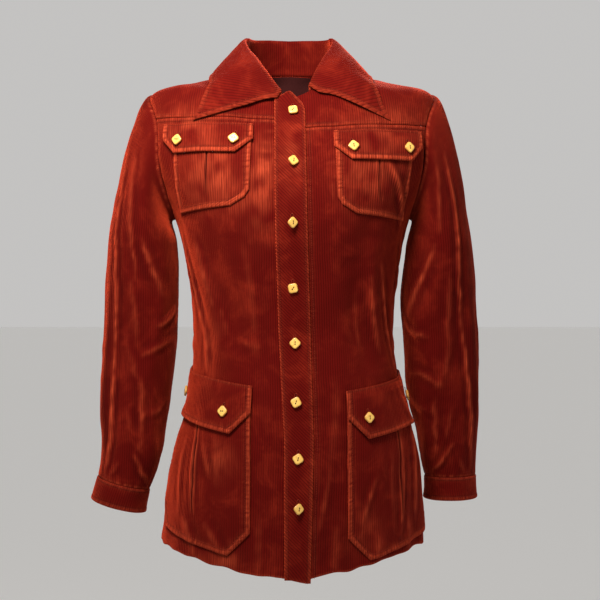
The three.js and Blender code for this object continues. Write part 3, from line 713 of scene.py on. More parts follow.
@dataclass
class Torso:
    """The body of the jacket as one smooth surface of angle and ring level."""

    rings: dict[str, Array] = field(default_factory=lambda: columns_of(TORSO_RINGS))
    crease_lines: list[tuple[Array, Crease]] = field(default_factory=list)

    def __post_init__(self) -> None:
        """Lays the creases' lines on the surface."""
        for crease in BODY_CREASES:
            path = crease.path()
            line = self.base(path[:, 0], self.level_at(path[:, 0], path[:, 1]))
            self.crease_lines.append((line, crease))

    def ring(self, key: str, level: Array) -> Array:
        """One column of the ring table at ring levels."""
        return smooth_column(self.rings[key], level)

    def height(self, angle: Array, level: Array) -> Array:
        """The height at an angle and a ring level."""
        c = np.cos(np.radians(angle))
        side = self.ring("side", level)
        end = np.where(c > 0, self.ring("front", level), self.ring("back", level))
        return side + (end - side) * c * c

    def base(self, angle: Array, level: Array) -> Array:
        """The smooth surface's points at angles and ring levels."""
        angle, level = np.broadcast_arrays(np.asarray(angle, float), np.asarray(level, float))
        s, c = np.sin(np.radians(angle)), np.cos(np.radians(angle))
        depth = np.where(c > 0, self.ring("fore", level), self.ring("aft", level))
        n = self.ring("square", level)
        r = ((np.abs(s) / self.ring("half", level)) ** n + (np.abs(c) / depth) ** n) ** (-1 / n)
        return np.stack([self.ring("middle", level) + r * s, -r * c, self.height(angle, level)], -1)

    def normal(self, angle: Array, level: Array) -> Array:
        """The way that the smooth surface faces."""
        around = self.base(angle + 0.5, level) - self.base(angle - 0.5, level)
        up = self.base(angle, np.minimum(level + 0.02, NECK)) - self.base(angle, np.maximum(level - 0.02, 0))
        return unit(np.cross(around, up))

    def folds(self, angle: Array, base: Array) -> Array:
        """How far the long folds push the cloth out."""
        radius = np.hypot(base[..., 0], base[..., 1])
        total = np.zeros(base.shape[:-1])
        for fold in BODY_FOLDS:
            along = (fold.top - base[..., 2]) / (fold.top - fold.low)
            inside = np.clip(along, 0, 1)
            across = np.radians(angle - (fold.start + (fold.end - fold.start) * inside)) * radius
            across = np.where(np.abs(angle - fold.start) > 180, 999.0, across)
            total += fold.out * bell(across, fold.wide) * np.sin(math.pi * inside) ** 0.7
        return total

    def creases(self, base: Array) -> tuple[Array, Array]:
        """How far the shorter creases push the cloth out, and their painted highlight and painted shade."""
        return crease_height(base, self.crease_lines)

    def point(self, angle: Array, level: Array, out: Array | float) -> Array:
        """Points that lie a distance out from the folded surface, without the shorter creases."""
        base = self.base(angle, level)
        lift = self.folds(np.asarray(angle, float), base) + out
        return base + self.normal(angle, level) * np.asarray(lift)[..., None]

    def level_at(self, angle: Array, z: Array) -> Array:
        """The ring level at a height."""
        angle, z = np.broadcast_arrays(np.asarray(angle, float), np.asarray(z, float))
        low, high = np.zeros(angle.shape), np.full(angle.shape, float(NECK))
        return search(low, high, lambda middle: self.height(angle, middle) < z)

    def angle_at(self, x: Array, level: Array) -> Array:
        """The front's angle at a distance x to the left."""
        x, level = np.broadcast_arrays(np.asarray(x, float), np.asarray(level, float))
        low, high = np.full(x.shape, -80.0), np.full(x.shape, 80.0)
        return search(low, high, lambda middle: self.base(middle, level)[..., 0] < x)

    def front_place(self, x: Array, z: Array) -> tuple[Array, Array]:
        """The front's angle and level at a place seen from in front."""
        level = self.level_at(np.zeros(np.shape(x)), z)
        angle = np.zeros(np.shape(x))
        for _ in range(PLACE_ROUNDS):
            angle = self.angle_at(x, level)
            level = self.level_at(angle, z)
        return angle, level

    def walk(self, sign: int, x: float, z: Array, distance: Array) -> tuple[Array, Array]:
        """The place reached along the cloth at one height, away from the centre front."""
        angle, _ = self.front_place(np.full(np.shape(z), float(x)), z)
        for _ in range(WALK_STEPS):
            ahead = self.base(angle + 0.5, self.level_at(angle + 0.5, z))
            behind = self.base(angle - 0.5, self.level_at(angle - 0.5, z))
            angle = angle + sign * distance / WALK_STEPS / np.linalg.norm(ahead - behind, axis=-1)
        return angle, self.level_at(angle, z)

    def gap_angle(self, angle: Array, level: Array, gap: float) -> Array:
        """A sideways gap as degrees at that place."""
        base = self.base(angle, level)
        return np.degrees(gap / np.hypot(base[..., 0], base[..., 1]))


def crease_height(points: Array, lines: list[tuple[Array, Crease]]) -> tuple[Array, Array]:
    """How far creases push cloth out: each is a ridge with a shallow trough on both sides.

    Args:
        points: places on the smooth surface.
        lines: each crease with its line on that surface.

    Returns:
        The height at each place, and the painted light: above 0 a painted highlight on a crest, with some
        pile rubbing, below 0 painted shade beside it.
    """
    total = np.zeros(points.shape[:-1])
    rubbed = np.zeros(points.shape[:-1])
    for number, (line, crease) in enumerate(lines):
        gap, along = nearest_on_line(points, line)
        share = np.clip(along / length_of(line), 0, 1)
        fade = np.sin(math.pi * share) ** 0.7
        fade = fade * (1 + 0.25 * waves(along, CREASE_FADE_SEED + number, (23.0, 41.0)))
        crest = np.exp(-((gap / crease.wide) ** 1.5))
        trough = bell(gap - 1.9 * crease.wide, 0.9 * crease.wide)
        total += crease.out * fade * (crest - 0.4 * trough)
        strength = np.clip(fade * (crease.out / FULL_CREST_LIGHT) ** 1.5, 0, 1)
        middle = bell(gap, 0.5 * crease.wide + 0.8)
        wander = np.clip(0.75 + 0.35 * waves(along, CREASE_HIGHLIGHT_SEED + number, (19.0, 33.0)), 0.2, 1)
        # Painted highlight along the crest, with some pile rubbing, and painted shade in the troughs
        rubbed += strength * (0.95 * middle * wander - 0.55 * trough * (1 - middle))
    return total, np.clip(rubbed, -1, 1)


TORSO = Torso()


# Finishes


def linear(code: str) -> tuple[float, float, float, float]:
    """An sRGB hex colour as linear red, green, blue and alpha."""
    parts = [int(code[i : i + 2], 16) / 255 for i in (1, 3, 5)]
    return tuple(c / 12.92 if c <= 0.04045 else ((c + 0.055) / 1.055) ** 2.4 for c in parts) + (1.0,)


def add_node(tree: bpy.types.NodeTree, kind: str, settings: dict | None = None, inputs: dict | None = None):
    """Adds a node with its settings, values and links.

    Args:
        tree: the node tree.
        kind: the node's type.
        settings: attributes of the node.
        inputs: a value or another node's output for each input, by name or number.

    Returns:
        The node.
    """
    node = tree.nodes.new(kind)
    for key, value in (settings or {}).items():
        setattr(node, key, value)
    for key, value in (inputs or {}).items():
        if isinstance(value, bpy.types.NodeSocket):
            tree.links.new(value, node.inputs[key])
        else:
            node.inputs[key].default_value = value
    return node


def empty_material(name: str) -> bpy.types.Material:
    """A material with no nodes."""
    made = bpy.data.materials.new(name)
    made.use_nodes = True
    made.node_tree.nodes.clear()
    return made


def maths(tree: bpy.types.NodeTree, operation: str, *values) -> bpy.types.NodeSocket:
    """What a Math node makes of values or other nodes' outputs."""
    return add_node(tree, "ShaderNodeMath", {"operation": operation}, dict(enumerate(values))).outputs[0]


def in_range(tree: bpy.types.NodeTree, value, taken: tuple, given: tuple, soft: bool = False):
    """A value taken from one range and given in another, with soft ends if wanted."""
    settings = {"interpolation_type": "SMOOTHSTEP" if soft else "LINEAR"}
    return add_node(tree, "ShaderNodeMapRange", settings, dict(enumerate((value, *taken, *given)))).outputs[0]


def noise(tree: bpy.types.NodeTree, vector, inputs: dict) -> bpy.types.NodeSocket:
    """The value of a noise texture."""
    return add_node(tree, "ShaderNodeTexNoise", None, {"Vector": vector, **inputs}).outputs[0]


def mix(tree: bpy.types.NodeTree, share, first, second) -> bpy.types.NodeSocket:
    """A colour between two colours."""
    return add_node(tree, "ShaderNodeMix", {"data_type": "RGBA"}, {0: share, 6: first, 7: second}).outputs[2]


def surfaced(material: bpy.types.Material, inputs: dict) -> bpy.types.Material:
    """The material, ended with one principled surface."""
    surface = add_node(material.node_tree, "ShaderNodeBsdfPrincipled", None, inputs)
    add_node(material.node_tree, "ShaderNodeOutputMaterial", None, {"Surface": surface.outputs[0]})
    return material


def place_in_scene(name: str, data: bpy.types.ID) -> bpy.types.Object:
    """A new object of some data, linked to the scene."""
    made = bpy.data.objects.new(name, data)
    bpy.context.scene.collection.objects.link(made)
    return made


@dataclass(frozen=True)
class CutPileCorduroy:
    """Cotton corduroy with a brushed velvet pile: matt ribs, deeper red between them, lighter where abraded,
    with painted highlight and painted shade.
    """

    name: str
    pile: str = "#500603"
    # The deep red between ribs: the bare ground, and painted shade in the hollows; also the colour of the
    # painted shade
    between: str = "#200101"
    crushed: str = "#8a2614"
    # The lighter colour of abraded pile and of painted highlight
    rubbed: str = "#bd4a2c"
    wale_mm: float = 3.2  # rib spacing
    tuft_mm: float = 0.7  # cut tufts along a rib
    rib_depth_mm: float = 0.7
    sheen: float = 0.5
    sheen_tint: str = "#ff5632"

    def material(self) -> bpy.types.Material:
        """The material: ribs follow the piece's own grain map; abraded pile with painted highlight, and
        painted shade, follow its attributes.
        """
        made = empty_material(self.name)
        tree = made.node_tree
        grain = add_node(tree, "ShaderNodeUVMap", {"uv_map": "grain"}).outputs["UV"]
        place = add_node(tree, "ShaderNodeTexCoord").outputs["Object"]
        rub = add_node(tree, "ShaderNodeAttribute", {"attribute_name": "rub"}).outputs["Fac"]
        # The painted shade attribute
        dark = add_node(tree, "ShaderNodeAttribute", {"attribute_name": "dark"}).outputs["Fac"]
        rib = self.ribs(tree, grain, place)
        tufts = self.noise_on_grain(tree, grain, (1 / (self.tuft_mm * MM), 0.45 / (self.tuft_mm * MM)))
        streaks = self.noise_on_grain(tree, grain, (1 / (2.2 * MM), 1 / (26 * MM)))
        patches = noise(tree, place, {"Scale": 24.0, "Detail": 5.0, "Roughness": 0.62, "Distortion": 0.5})
        crushed = in_range(tree, patches, (0.44, 0.8), (0.0, 0.6), True)
        streaked = in_range(tree, streaks, (0.35, 0.7), (0.45, 1.0))
        share = maths(tree, "MULTIPLY", crushed, streaked)
        pile = mix(tree, share, linear(self.pile), linear(self.crushed))
        # Lighter where the pile is abraded and where highlight is painted
        worn = mix(tree, maths(tree, "MULTIPLY", rub, streaked), pile, linear(self.rubbed))
        brushed = in_range(tree, share, (0.0, 0.5), (0.62, 0.3))
        # Deeper red in the hollows between ribs, less where the pile is crushed: partly bare ground, partly
        # painted shade
        hollow = in_range(tree, rib, (0.0, 0.75), (1.0, 0.0))
        ribbed = mix(tree, maths(tree, "MULTIPLY", hollow, brushed), worn, linear(self.between))
        # Painted shade pulls the colour towards the deep red between ribs
        deep = mix(tree, maths(tree, "MULTIPLY", dark, 0.85), ribbed, linear(self.between))
        fuzz = maths(tree, "MULTIPLY_ADD", tufts, 0.35, rib)
        relief = {"Strength": 0.8, "Distance": self.rib_depth_mm * MM, "Height": fuzz}
        inputs = {
            "Base Color": deep,
            "Roughness": 0.9,
            "IOR": 1.45,
            "Specular IOR Level": 0.06,
            "Sheen Weight": self.sheen,
            "Sheen Roughness": 0.34,
            "Sheen Tint": linear(self.sheen_tint),
            "Normal": add_node(tree, "ShaderNodeBump", None, relief).outputs[0],
        }
        return surfaced(made, inputs)

    def ribs(self, tree: bpy.types.NodeTree, grain, place) -> bpy.types.NodeSocket:
        """The ribs' height, from 0 between them to 1 on a crest, on lines that drift a little."""
        parts = add_node(tree, "ShaderNodeSeparateXYZ", None, {0: grain})
        drift = noise(tree, place, {"Scale": 22.0, "Detail": 2.0, "Roughness": 0.5})
        wander = maths(tree, "MULTIPLY_ADD", drift, 1.1, -0.55)
        count = maths(tree, "MULTIPLY_ADD", parts.outputs[0], 1 / (self.wale_mm * MM), wander)
        wave = maths(tree, "SINE", maths(tree, "MULTIPLY", count, math.pi))
        return maths(tree, "POWER", maths(tree, "ABSOLUTE", wave), 0.62)

    @staticmethod
    def noise_on_grain(tree: bpy.types.NodeTree, grain, scale: tuple[float, float]) -> bpy.types.NodeSocket:
        """Noise that is scaled across and along the wales."""
        wanted = {0: grain, 1: (*scale, 1.0)}
        scaled = add_node(tree, "ShaderNodeVectorMath", {"operation": "MULTIPLY"}, wanted)
        return noise(tree, scaled.outputs[0], {"Scale": 1.0, "Detail": 2.0})


@dataclass(frozen=True)
class PlainBack:
    """The corduroy's woven back, seen inside the jacket: flat cotton with a fine plain weave, its red painted
    much deeper as shade inside the jacket.
    """

    name: str = "corduroy_back"
    # Much deeper than the face's red: painted shade of the jacket's inside
    colour: str = "#3a0705"
    shadow: str = "#2c0504"
    thread_mm: float = 0.9

    def material(self) -> bpy.types.Material:
        """The material."""
        made = empty_material(self.name)
        tree = made.node_tree
        grain = add_node(tree, "ShaderNodeUVMap", {"uv_map": "grain"}).outputs["UV"]
        squares = {"Vector": grain, "Scale": 1 / (self.thread_mm * MM)}
        weave = add_node(tree, "ShaderNodeTexChecker", None, squares).outputs["Fac"]
        relief = {"Strength": 0.3, "Distance": 0.2 * MM, "Height": weave}
        inputs = {
            "Base Color": mix(tree, weave, linear(self.colour), linear(self.shadow)),
            "Roughness": 0.85,
            "Specular IOR Level": 0.25,
            "Normal": add_node(tree, "ShaderNodeBump", None, relief).outputs[0],
        }
        return surfaced(made, inputs)


@dataclass(frozen=True)
class SewingThread:
    """Twisted polyester thread: smooth and faintly shiny."""

    name: str
    colour: str
    light: str

    def material(self) -> bpy.types.Material:
        """The material."""
        made = empty_material(self.name)
        tree = made.node_tree
        place = add_node(tree, "ShaderNodeTexCoord").outputs["Object"]
        twist = noise(tree, place, {"Scale": 900.0, "Detail": 1.0})
        colour = mix(tree, twist, linear(self.colour), linear(self.light))
        return surfaced(made, {"Base Color": colour, "Roughness": 0.7, "Specular IOR Level": 0.12})


@dataclass(frozen=True)
class CastResin:
    """Cast polyester resin, tumbled: golden yellow, deeper towards its rim, with faint pearl clouds."""

    name: str = "button_resin"
    face: str = "#e4b85a"
    cloud: str = "#cf9438"
    rim: str = "#a9671c"

    def material(self) -> bpy.types.Material:
        """The material."""
        made = empty_material(self.name)
        tree = made.node_tree
        place = add_node(tree, "ShaderNodeTexCoord").outputs["Object"]
        clouds = noise(tree, place, {"Scale": 210.0, "Detail": 3.0, "Distortion": 1.5})
        share = in_range(tree, clouds, (0.4, 0.75), (0.0, 0.8))
        colour = mix(tree, share, linear(self.face), linear(self.cloud))
        rim = add_node(tree, "ShaderNodeAttribute", {"attribute_name": "rim"}).outputs["Fac"]
        inputs = {
            "Base Color": mix(tree, rim, colour, linear(self.rim)),
            "Roughness": 0.4,
            "IOR": 1.54,
            "Subsurface Weight": 0.08,
            "Coat Weight": 0.1,
            "Coat Roughness": 0.08,
        }
        return surfaced(made, inputs)


@dataclass(frozen=True)
class MattPaint:
    """Matt emulsion paint on the floor: pale and even."""

    name: str = "floor_paint"
    colour: str = "#f6f5f3"

    def material(self) -> bpy.types.Material:
        """The material."""
        return surfaced(empty_material(self.name), {"Base Color": linear(self.colour), "Roughness": 0.8})


@dataclass
class Finishes:
    """Every material of the jacket, made once."""

    corduroy: bpy.types.Material = field(
        default_factory=lambda: CutPileCorduroy("corduroy_rust_red").material()
    )
    back: bpy.types.Material = field(default_factory=lambda: PlainBack().material())
    thread: bpy.types.Material = field(
        default_factory=lambda: SewingThread("thread_red", "#4a0c06", "#8a2a16").material()
    )
    dark_thread: bpy.types.Material = field(
        default_factory=lambda: SewingThread("thread_dark", "#1d0604", "#3a100a").material()
    )
    resin: bpy.types.Material = field(default_factory=lambda: CastResin().material())
    floor: bpy.types.Material = field(default_factory=lambda: MattPaint().material())


# Stitches


@dataclass
class StitchRun:
    """Lines of stitches and how long, thick and far apart the stitches are."""

    lines: list[Array]
    length: float = 2.6
    gap: float = 0.5
    radius: float = 0.34


def stitch_tree(material: bpy.types.Material) -> bpy.types.NodeTree:
    """A node tree that sets an elongated stitch at even steps along a curve.

    Args:
        material: the thread.

    Returns:
        The tree, whose inputs are the step, the stitch length, its radius and a seed.
    """
    tree = bpy.data.node_groups.new("stitches_" + material.name, "GeometryNodeTree")
    tree.interface.new_socket("Geometry", in_out="INPUT", socket_type="NodeSocketGeometry")
    for name in ("Step", "Stitch length", "Radius"):
        tree.interface.new_socket(name, in_out="INPUT", socket_type="NodeSocketFloat")
    tree.interface.new_socket("Seed", in_out="INPUT", socket_type="NodeSocketInt")
    tree.interface.new_socket("Geometry", in_out="OUTPUT", socket_type="NodeSocketGeometry")
    given = add_node(tree, "NodeGroupInput")
    steps = add_node(
        tree,
        "GeometryNodeResampleCurve",
        {"mode": "LENGTH"},
        {"Curve": given.outputs["Geometry"], "Length": given.outputs["Step"]},
    )
    ball = add_node(tree, "GeometryNodeMeshUVSphere", None, {"Segments": 6, "Rings": 4, "Radius": 1.0})
    half = maths(tree, "MULTIPLY", given.outputs["Stitch length"], 0.5)
    size = add_node(
        tree,
        "ShaderNodeCombineXYZ",
        None,
        {"X": given.outputs["Radius"], "Y": given.outputs["Radius"], "Z": half},
    )
    tangent = add_node(tree, "GeometryNodeInputTangent")
    turn = add_node(tree, "FunctionNodeAlignRotationToVector", {"axis": "Z"}, {"Vector": tangent.outputs[0]})
    uneven = add_node(
        tree,
        "FunctionNodeRandomValue",
        {"data_type": "FLOAT"},
        {2: 0.85, 3: 1.12, "Seed": given.outputs["Seed"]},
    )
    scale = add_node(
        tree, "ShaderNodeVectorMath", {"operation": "SCALE"}, {0: size.outputs[0], "Scale": uneven.outputs[1]}
    )
    placed = add_node(
        tree,
        "GeometryNodeInstanceOnPoints",
        None,
        {
            "Points": steps.outputs[0],
            "Instance": ball.outputs["Mesh"],
            "Rotation": turn.outputs[0],
            "Scale": scale.outputs[0],
        },
    )
    real = add_node(tree, "GeometryNodeRealizeInstances", None, {0: placed.outputs[0]})
    smooth = add_node(tree, "GeometryNodeSetShadeSmooth", None, {0: real.outputs[0]})
    dressed = add_node(tree, "GeometryNodeSetMaterial", None, {0: smooth.outputs[0], "Material": material})
    add_node(tree, "NodeGroupOutput", None, {0: dressed.outputs[0]})
    return tree


def sew(name: str, run: StitchRun, tree: bpy.types.NodeTree, seed: int) -> None:
    """Makes one mesh of all the stitches on some lines.

    Args:
        name: the piece's name.
        run: the lines and the stitches' sizes.
        tree: the stitch tree.
        seed: the seed of their unevenness.
    """
    lines = [line for line in run.lines if len(line) > 2]
    if not lines:
        return
    curve = bpy.data.curves.new(name + "_path", "CURVE")
    curve.dimensions = "3D"
    for line in lines:
        spline = curve.splines.new("POLY")
        spline.points.add(len(line) - 1)
        spline.points.foreach_set("co", np.column_stack([line * MM, np.ones(len(line))]).ravel())
    path = place_in_scene(name + "_path", curve)
    modifier = path.modifiers.new("stitches", "NODES")
    modifier.node_group = tree
    sockets = {s.name: s.identifier for s in tree.interface.items_tree if s.in_out == "INPUT"}
    modifier[sockets["Step"]] = (run.length + run.gap) * MM
    modifier[sockets["Stitch length"]] = run.length * MM
    modifier[sockets["Radius"]] = run.radius * MM
    modifier[sockets["Seed"]] = seed
    graph = bpy.context.evaluated_depsgraph_get()
    mesh = bpy.data.meshes.new_from_object(path.evaluated_get(graph))
    mesh.name = name
    bpy.data.objects.remove(path)
    made = place_in_scene(name, mesh)
    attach(made, BODY)
    log.info("%s: %d stitch lines, %d faces", name, len(lines), len(mesh.polygons))


# Cloth


@dataclass
class Cloth:
    """One cut piece of corduroy as a grid of points on its face side."""

    name: str
    rest: Array  # rows x columns x 3, the smooth face before any relief
    facing: Array
    grain: Array  # rows x columns x 2, across and along the wales
    thickness: float
    tube: bool = False
    back_is_pile: bool = False
    seed: int = 1
    height: Array = None
    thick: Array = None
    # Pile lightened by abrasion and by painted highlight, from 0 to 1
    rub: Array = None
    # Painted shade, from 0 to 1
    dark: Array = None
    stitch_lines: list[tuple[Array, float]] = field(default_factory=list)

    def __post_init__(self) -> None:
        """Starts with flat, even cloth, with no abraded pile, no painted highlight and no painted shade."""
        shape = self.rest.shape[:-1]
        self.height = np.zeros(shape)
        self.thick = np.full(shape, float(self.thickness))
        self.rub = np.zeros(shape)
        self.dark = np.zeros(shape)

    @property
    def face(self) -> Array:
        """The face side's points with all relief so far."""
        return self.rest + self.facing * self.height[..., None]

    def border(self, *parts: str) -> Array:
        """A line along the piece's edges, such as border("left", "last", "right").

        Args:
            parts: left and right are the first and last columns, first and last the rows. A leading minus
                turns a part round.

        Returns:
            The line's points.
        """
        edges = {
            "left": self.rest[:, 0],
            "right": self.rest[:, -1],
            "first": self.rest[0],
            "last": self.rest[-1],
        }
        lines = [edges[p.lstrip("-")][::-1] if p.startswith("-") else edges[p] for p in parts]
        return np.concatenate([lines[0]] + [line[1:] for line in lines[1:]])

    def wear(self, amount: Array) -> None:
        """Lightens the pile at least this much: abraded pile and painted highlight."""
        self.rub = np.maximum(self.rub, amount)

    def darken(self, amount: Array) -> None:
        """Paints shade on the pile at least this much."""
        self.dark = np.maximum(self.dark, amount)

    def round_off(self, line: Array, radius: float = 1.3) -> None:
        """Rounds the cloth along a folded edge and rubs its pile there.

        Args:
            line: the edge.
            radius: how far inside the edge the cloth starts to round off.
        """
        gap, along = nearest_on_line(self.rest, line)
        part = np.clip(gap / radius, 0, 1)
        left = np.sqrt(np.clip(1 - (1 - part) ** 2, 0.02, 1))
        self.height -= self.thick * (1 - left) / 2
        self.thick = self.thick * left
        uneven = 0.75 + 0.35 * waves(along, self.seed + 11, (17.0, 29.0, 43.0))
        self.wear(0.6 * np.clip(uneven, 0.2, 1) * bell(gap, 1.7))

    def sink_seam(self, line: Array, seam: Seam) -> None:
        """Sinks the cloth into a seam and puckers it beside the seam.

        Args:
            line: the seam.
            seam: how it marks the cloth.
        """
        gap, along = nearest_on_line(self.rest, line)
        ripple = waves(along, self.seed + 23, (7.3, 10.1, 14.7))
        self.height -= seam.depth * bell(gap, seam.wide)
        self.height += seam.pucker * ripple * np.exp(-gap / 6.0) * (1 - np.exp(-gap / 1.5))
        # Painted shade in the seam; beside it the pile is lighter, abraded, with painted highlight on the
        # puckers
        self.darken(0.3 * bell(gap, 0.9))
        self.wear(bell(gap - 2.8, 1.8) * np.clip(0.25 + 0.4 * ripple, 0, 1))

    def topstitch(self, line: Array, row: StitchRow) -> None:
        """Sews a row of stitches beside an edge: a groove, a soft band and cross ripples in it.

        Args:
            line: the edge.
            row: how far inside the edge the row runs, and how it marks the cloth.
        """
        gap, along = nearest_on_line(self.rest, line)
        inset = row.inset
        band = np.sin(math.pi * np.clip(gap / inset, 0, 1))
        ripple = waves(along, self.seed + int(inset * 10), (4.7, 6.2, 8.9))
        self.height += row.pillow * band * (gap < inset)
        self.height -= row.groove * bell(gap - inset, 0.95)
        beyond = np.maximum(gap - inset, 0)
        reach = np.where(gap < inset, band**0.5, np.exp(-beyond / 4.0) * (1 - np.exp(-beyond / 1.2)))
        self.height += row.pucker * ripple * reach
        # Painted shade in the groove past the stitches; the band inside is lighter, abraded, with painted
        # highlight on its ripples
        self.darken(0.55 * bell(gap - inset - 0.4, 0.9))
        inside = np.where(gap < inset, np.clip(band * 1.6, 0, 1), 0.5 * np.exp(-beyond / 2.5))
        self.wear(inside * np.clip(row.worn * (1 + 1.1 * ripple), 0, 0.95))
        self.stitch_lines.append((line, inset))

    def lines_of_stitches(self) -> list[Array]:
        """The rows of stitches as lines on the finished face."""
        return [self.inset_line(line, inset) for line, inset in self.stitch_lines]

    def inset_line(self, line: Array, inset: float) -> Array:
        """A line on the finished face at a distance inside an edge."""
        gap, along = nearest_on_line(self.rest, line)
        face = self.face + self.facing * 0.12
        whole = length_of(line)
        places, points = [], []
        for ahead, behind in (((slice(1, None), slice(None)), (slice(None, -1), slice(None))),
                              ((slice(None), slice(1, None)), (slice(None), slice(None, -1)))):
            a, b = gap[behind] - inset, gap[ahead] - inset
            crossing = (a * b < 0) & (along[behind] > 0.5) & (along[behind] < whole - 0.5)
            t = a[crossing] / (a[crossing] - b[crossing])
            places.append(along[behind][crossing] * (1 - t) + along[ahead][crossing] * t)
            points.append(face[behind][crossing] * (1 - t[:, None]) + face[ahead][crossing] * t[:, None])
        place, point = np.concatenate(places), np.concatenate(points)
        if len(place) < 4:
            return np.zeros((0, 3))
        bins = (place / 2.4).astype(int)
        used = np.unique(bins)
        return np.array([point[bins == b].mean(0) for b in used])

    def make(self, finishes: Finishes) -> bpy.types.Object:
        """Makes the closed shell with its grain map, its attributes of abraded pile with painted highlight
        and of painted shade, and its materials.
        """
        face = self.face
        facing = grid_facing(face, self.tube)
        facing *= np.sign((facing * self.facing).sum(-1, keepdims=True) + 1e-12)
        back = face - facing * self.thick[..., None]
        rows, columns = self.height.shape
        count = rows * columns
        at = np.arange(count).reshape(rows, columns)
        outer = np.stack([at[:-1, :-1], at[:-1, 1:], at[1:, 1:], at[1:, :-1]], -1).reshape(-1, 4)
        first = outer[0]
        flat = face.reshape(-1, 3)
        way = np.cross(flat[first[1]] - flat[first[0]], flat[first[3]] - flat[first[0]])
        turned = np.dot(way, self.facing[0, 0]) < 0
        inner = outer[:, ::-1] + count
        sides = [(at[0], True), (at[-1], False)]
        if not self.tube:
            sides += [(at[:, 0], False), (at[:, -1], True)]
        rims = []
        for edge, flip in sides:
            rim = np.stack([edge[:-1], edge[1:], edge[1:] + count, edge[:-1] + count], -1)
            rims.append(rim[:, ::-1] if flip else rim)
        faces = np.concatenate([outer, inner] + rims)
        if turned:
            faces = faces[:, ::-1]
        mesh = bpy.data.meshes.new(self.name)
        mesh.from_pydata(np.concatenate([flat, back.reshape(-1, 3)]) * MM, [], faces.tolist())
        slots = np.zeros(len(faces), np.int32)
        slots[len(outer) : 2 * len(outer)] = 0 if self.back_is_pile else 1
        mesh.polygons.foreach_set("material_index", slots)
        mesh.polygons.foreach_set("use_smooth", np.ones(len(faces), bool))
        corners = np.zeros(len(mesh.loops), np.int32)
        mesh.loops.foreach_get("vertex_index", corners)
        grain = np.tile(self.grain.reshape(-1, 2), (2, 1)) * MM
        mesh.uv_layers.new(name="grain").data.foreach_set("uv", grain[corners].astype(np.float32).ravel())
        for key, values in (("rub", self.rub), ("dark", self.dark)):
            layer = mesh.attributes.new(key, "FLOAT", "POINT")
            layer.data.foreach_set("value", np.tile(np.clip(values, 0, 1).ravel(), 2).astype(np.float32))
        mesh.materials.append(finishes.corduroy)
        mesh.materials.append(finishes.back)
        if self.tube:
            shell = bmesh.new()
            shell.from_mesh(mesh)
            bmesh.ops.remove_doubles(shell, verts=shell.verts, dist=0.01 * MM)
            shell.to_mesh(mesh)
            shell.free()
        mesh.validate()
        return place_in_scene(self.name, mesh)


def torso_cloth(
    name: str,
    angle: Array,
    level: Array,
    out: Array | float,
    thickness: float,
    seed: int,
    grain: Array | None = None,
) -> Cloth:
    """A piece that lies on the torso, with the folds and creases that it shares with what is under it.

    Args:
        name: the piece's name.
        angle: the grid's angles.
        level: the grid's ring levels.
        out: how far its face side stands out from the torso.
        thickness: the cloth's thickness.
        seed: the seed of its own unevenness.
        grain: the grid's places across and along the wales, or None to measure them on the surface.

    Returns:
        The piece.
    """
    base = TORSO.base(angle, level)
    facing = TORSO.normal(angle, level)
    if grain is None:
        grain = np.stack([lengths_along(base, 1), lengths_along(base, 0)], -1)
    rest = base + facing * np.asarray(out + np.zeros(angle.shape))[..., None]
    piece = Cloth(name, rest, facing, grain, thickness, seed=seed)
    creases, rubbed = TORSO.creases(base)
    piece.height += TORSO.folds(angle, base) + creases
    piece.height += 0.85 * unevenness(base, 5, 48, 2.2) + 0.24 * unevenness(base, 6, 19, 1.8)
    # The creases' painted highlight on their crests and painted shade in their troughs
    piece.wear(rubbed)
    piece.darken(-rubbed)
    # Lighter patches on the front: brushed pile and painted highlight
    uneven = 0.75 + 0.45 * unevenness(base, 9, 15, 2.0)
    for x, z, wide, high, amount in BRUSHED_AND_LIT_PLACES:
        far = ((base[..., 0] - x) / wide) ** 2 + ((base[..., 2] - z) / high) ** 2
        brushed = amount * np.exp(-far) * np.clip(uneven, 0, 1.2) * (base[..., 1] < 0)
        piece.rub = np.clip(piece.rub + brushed, 0, 1)
    return piece


class Hung(Enum):
    """How a cut piece of cloth is held."""

    HUNG = "hung"
    LAID = "laid"
    FOLDED = "folded"


@dataclass(frozen=True)
class Cut:
    """What a piece of cloth was cut to: flat width and length in metres, area, how it is held and by what."""

    width: float
    length: float
    area: float
    held: Hung
    rests_on: tuple[str, ...]


def hand_over(piece: Cloth, finishes: Finishes) -> None:
    """Makes a cloth piece in place of the part's node of the same name.

    Args:
        piece: the cloth.
        finishes: the materials.
    """
    made = piece.make(finishes)
    node = piece.name.removesuffix("_cloth")
    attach(made, BODY)
    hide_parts(node)
    area = sum(p.area for p in made.data.polygons) / 2
    log.info("%s: %d faces, %.4f m2 a layer", made.name, len(made.data.polygons), area)


# The body of the jacket


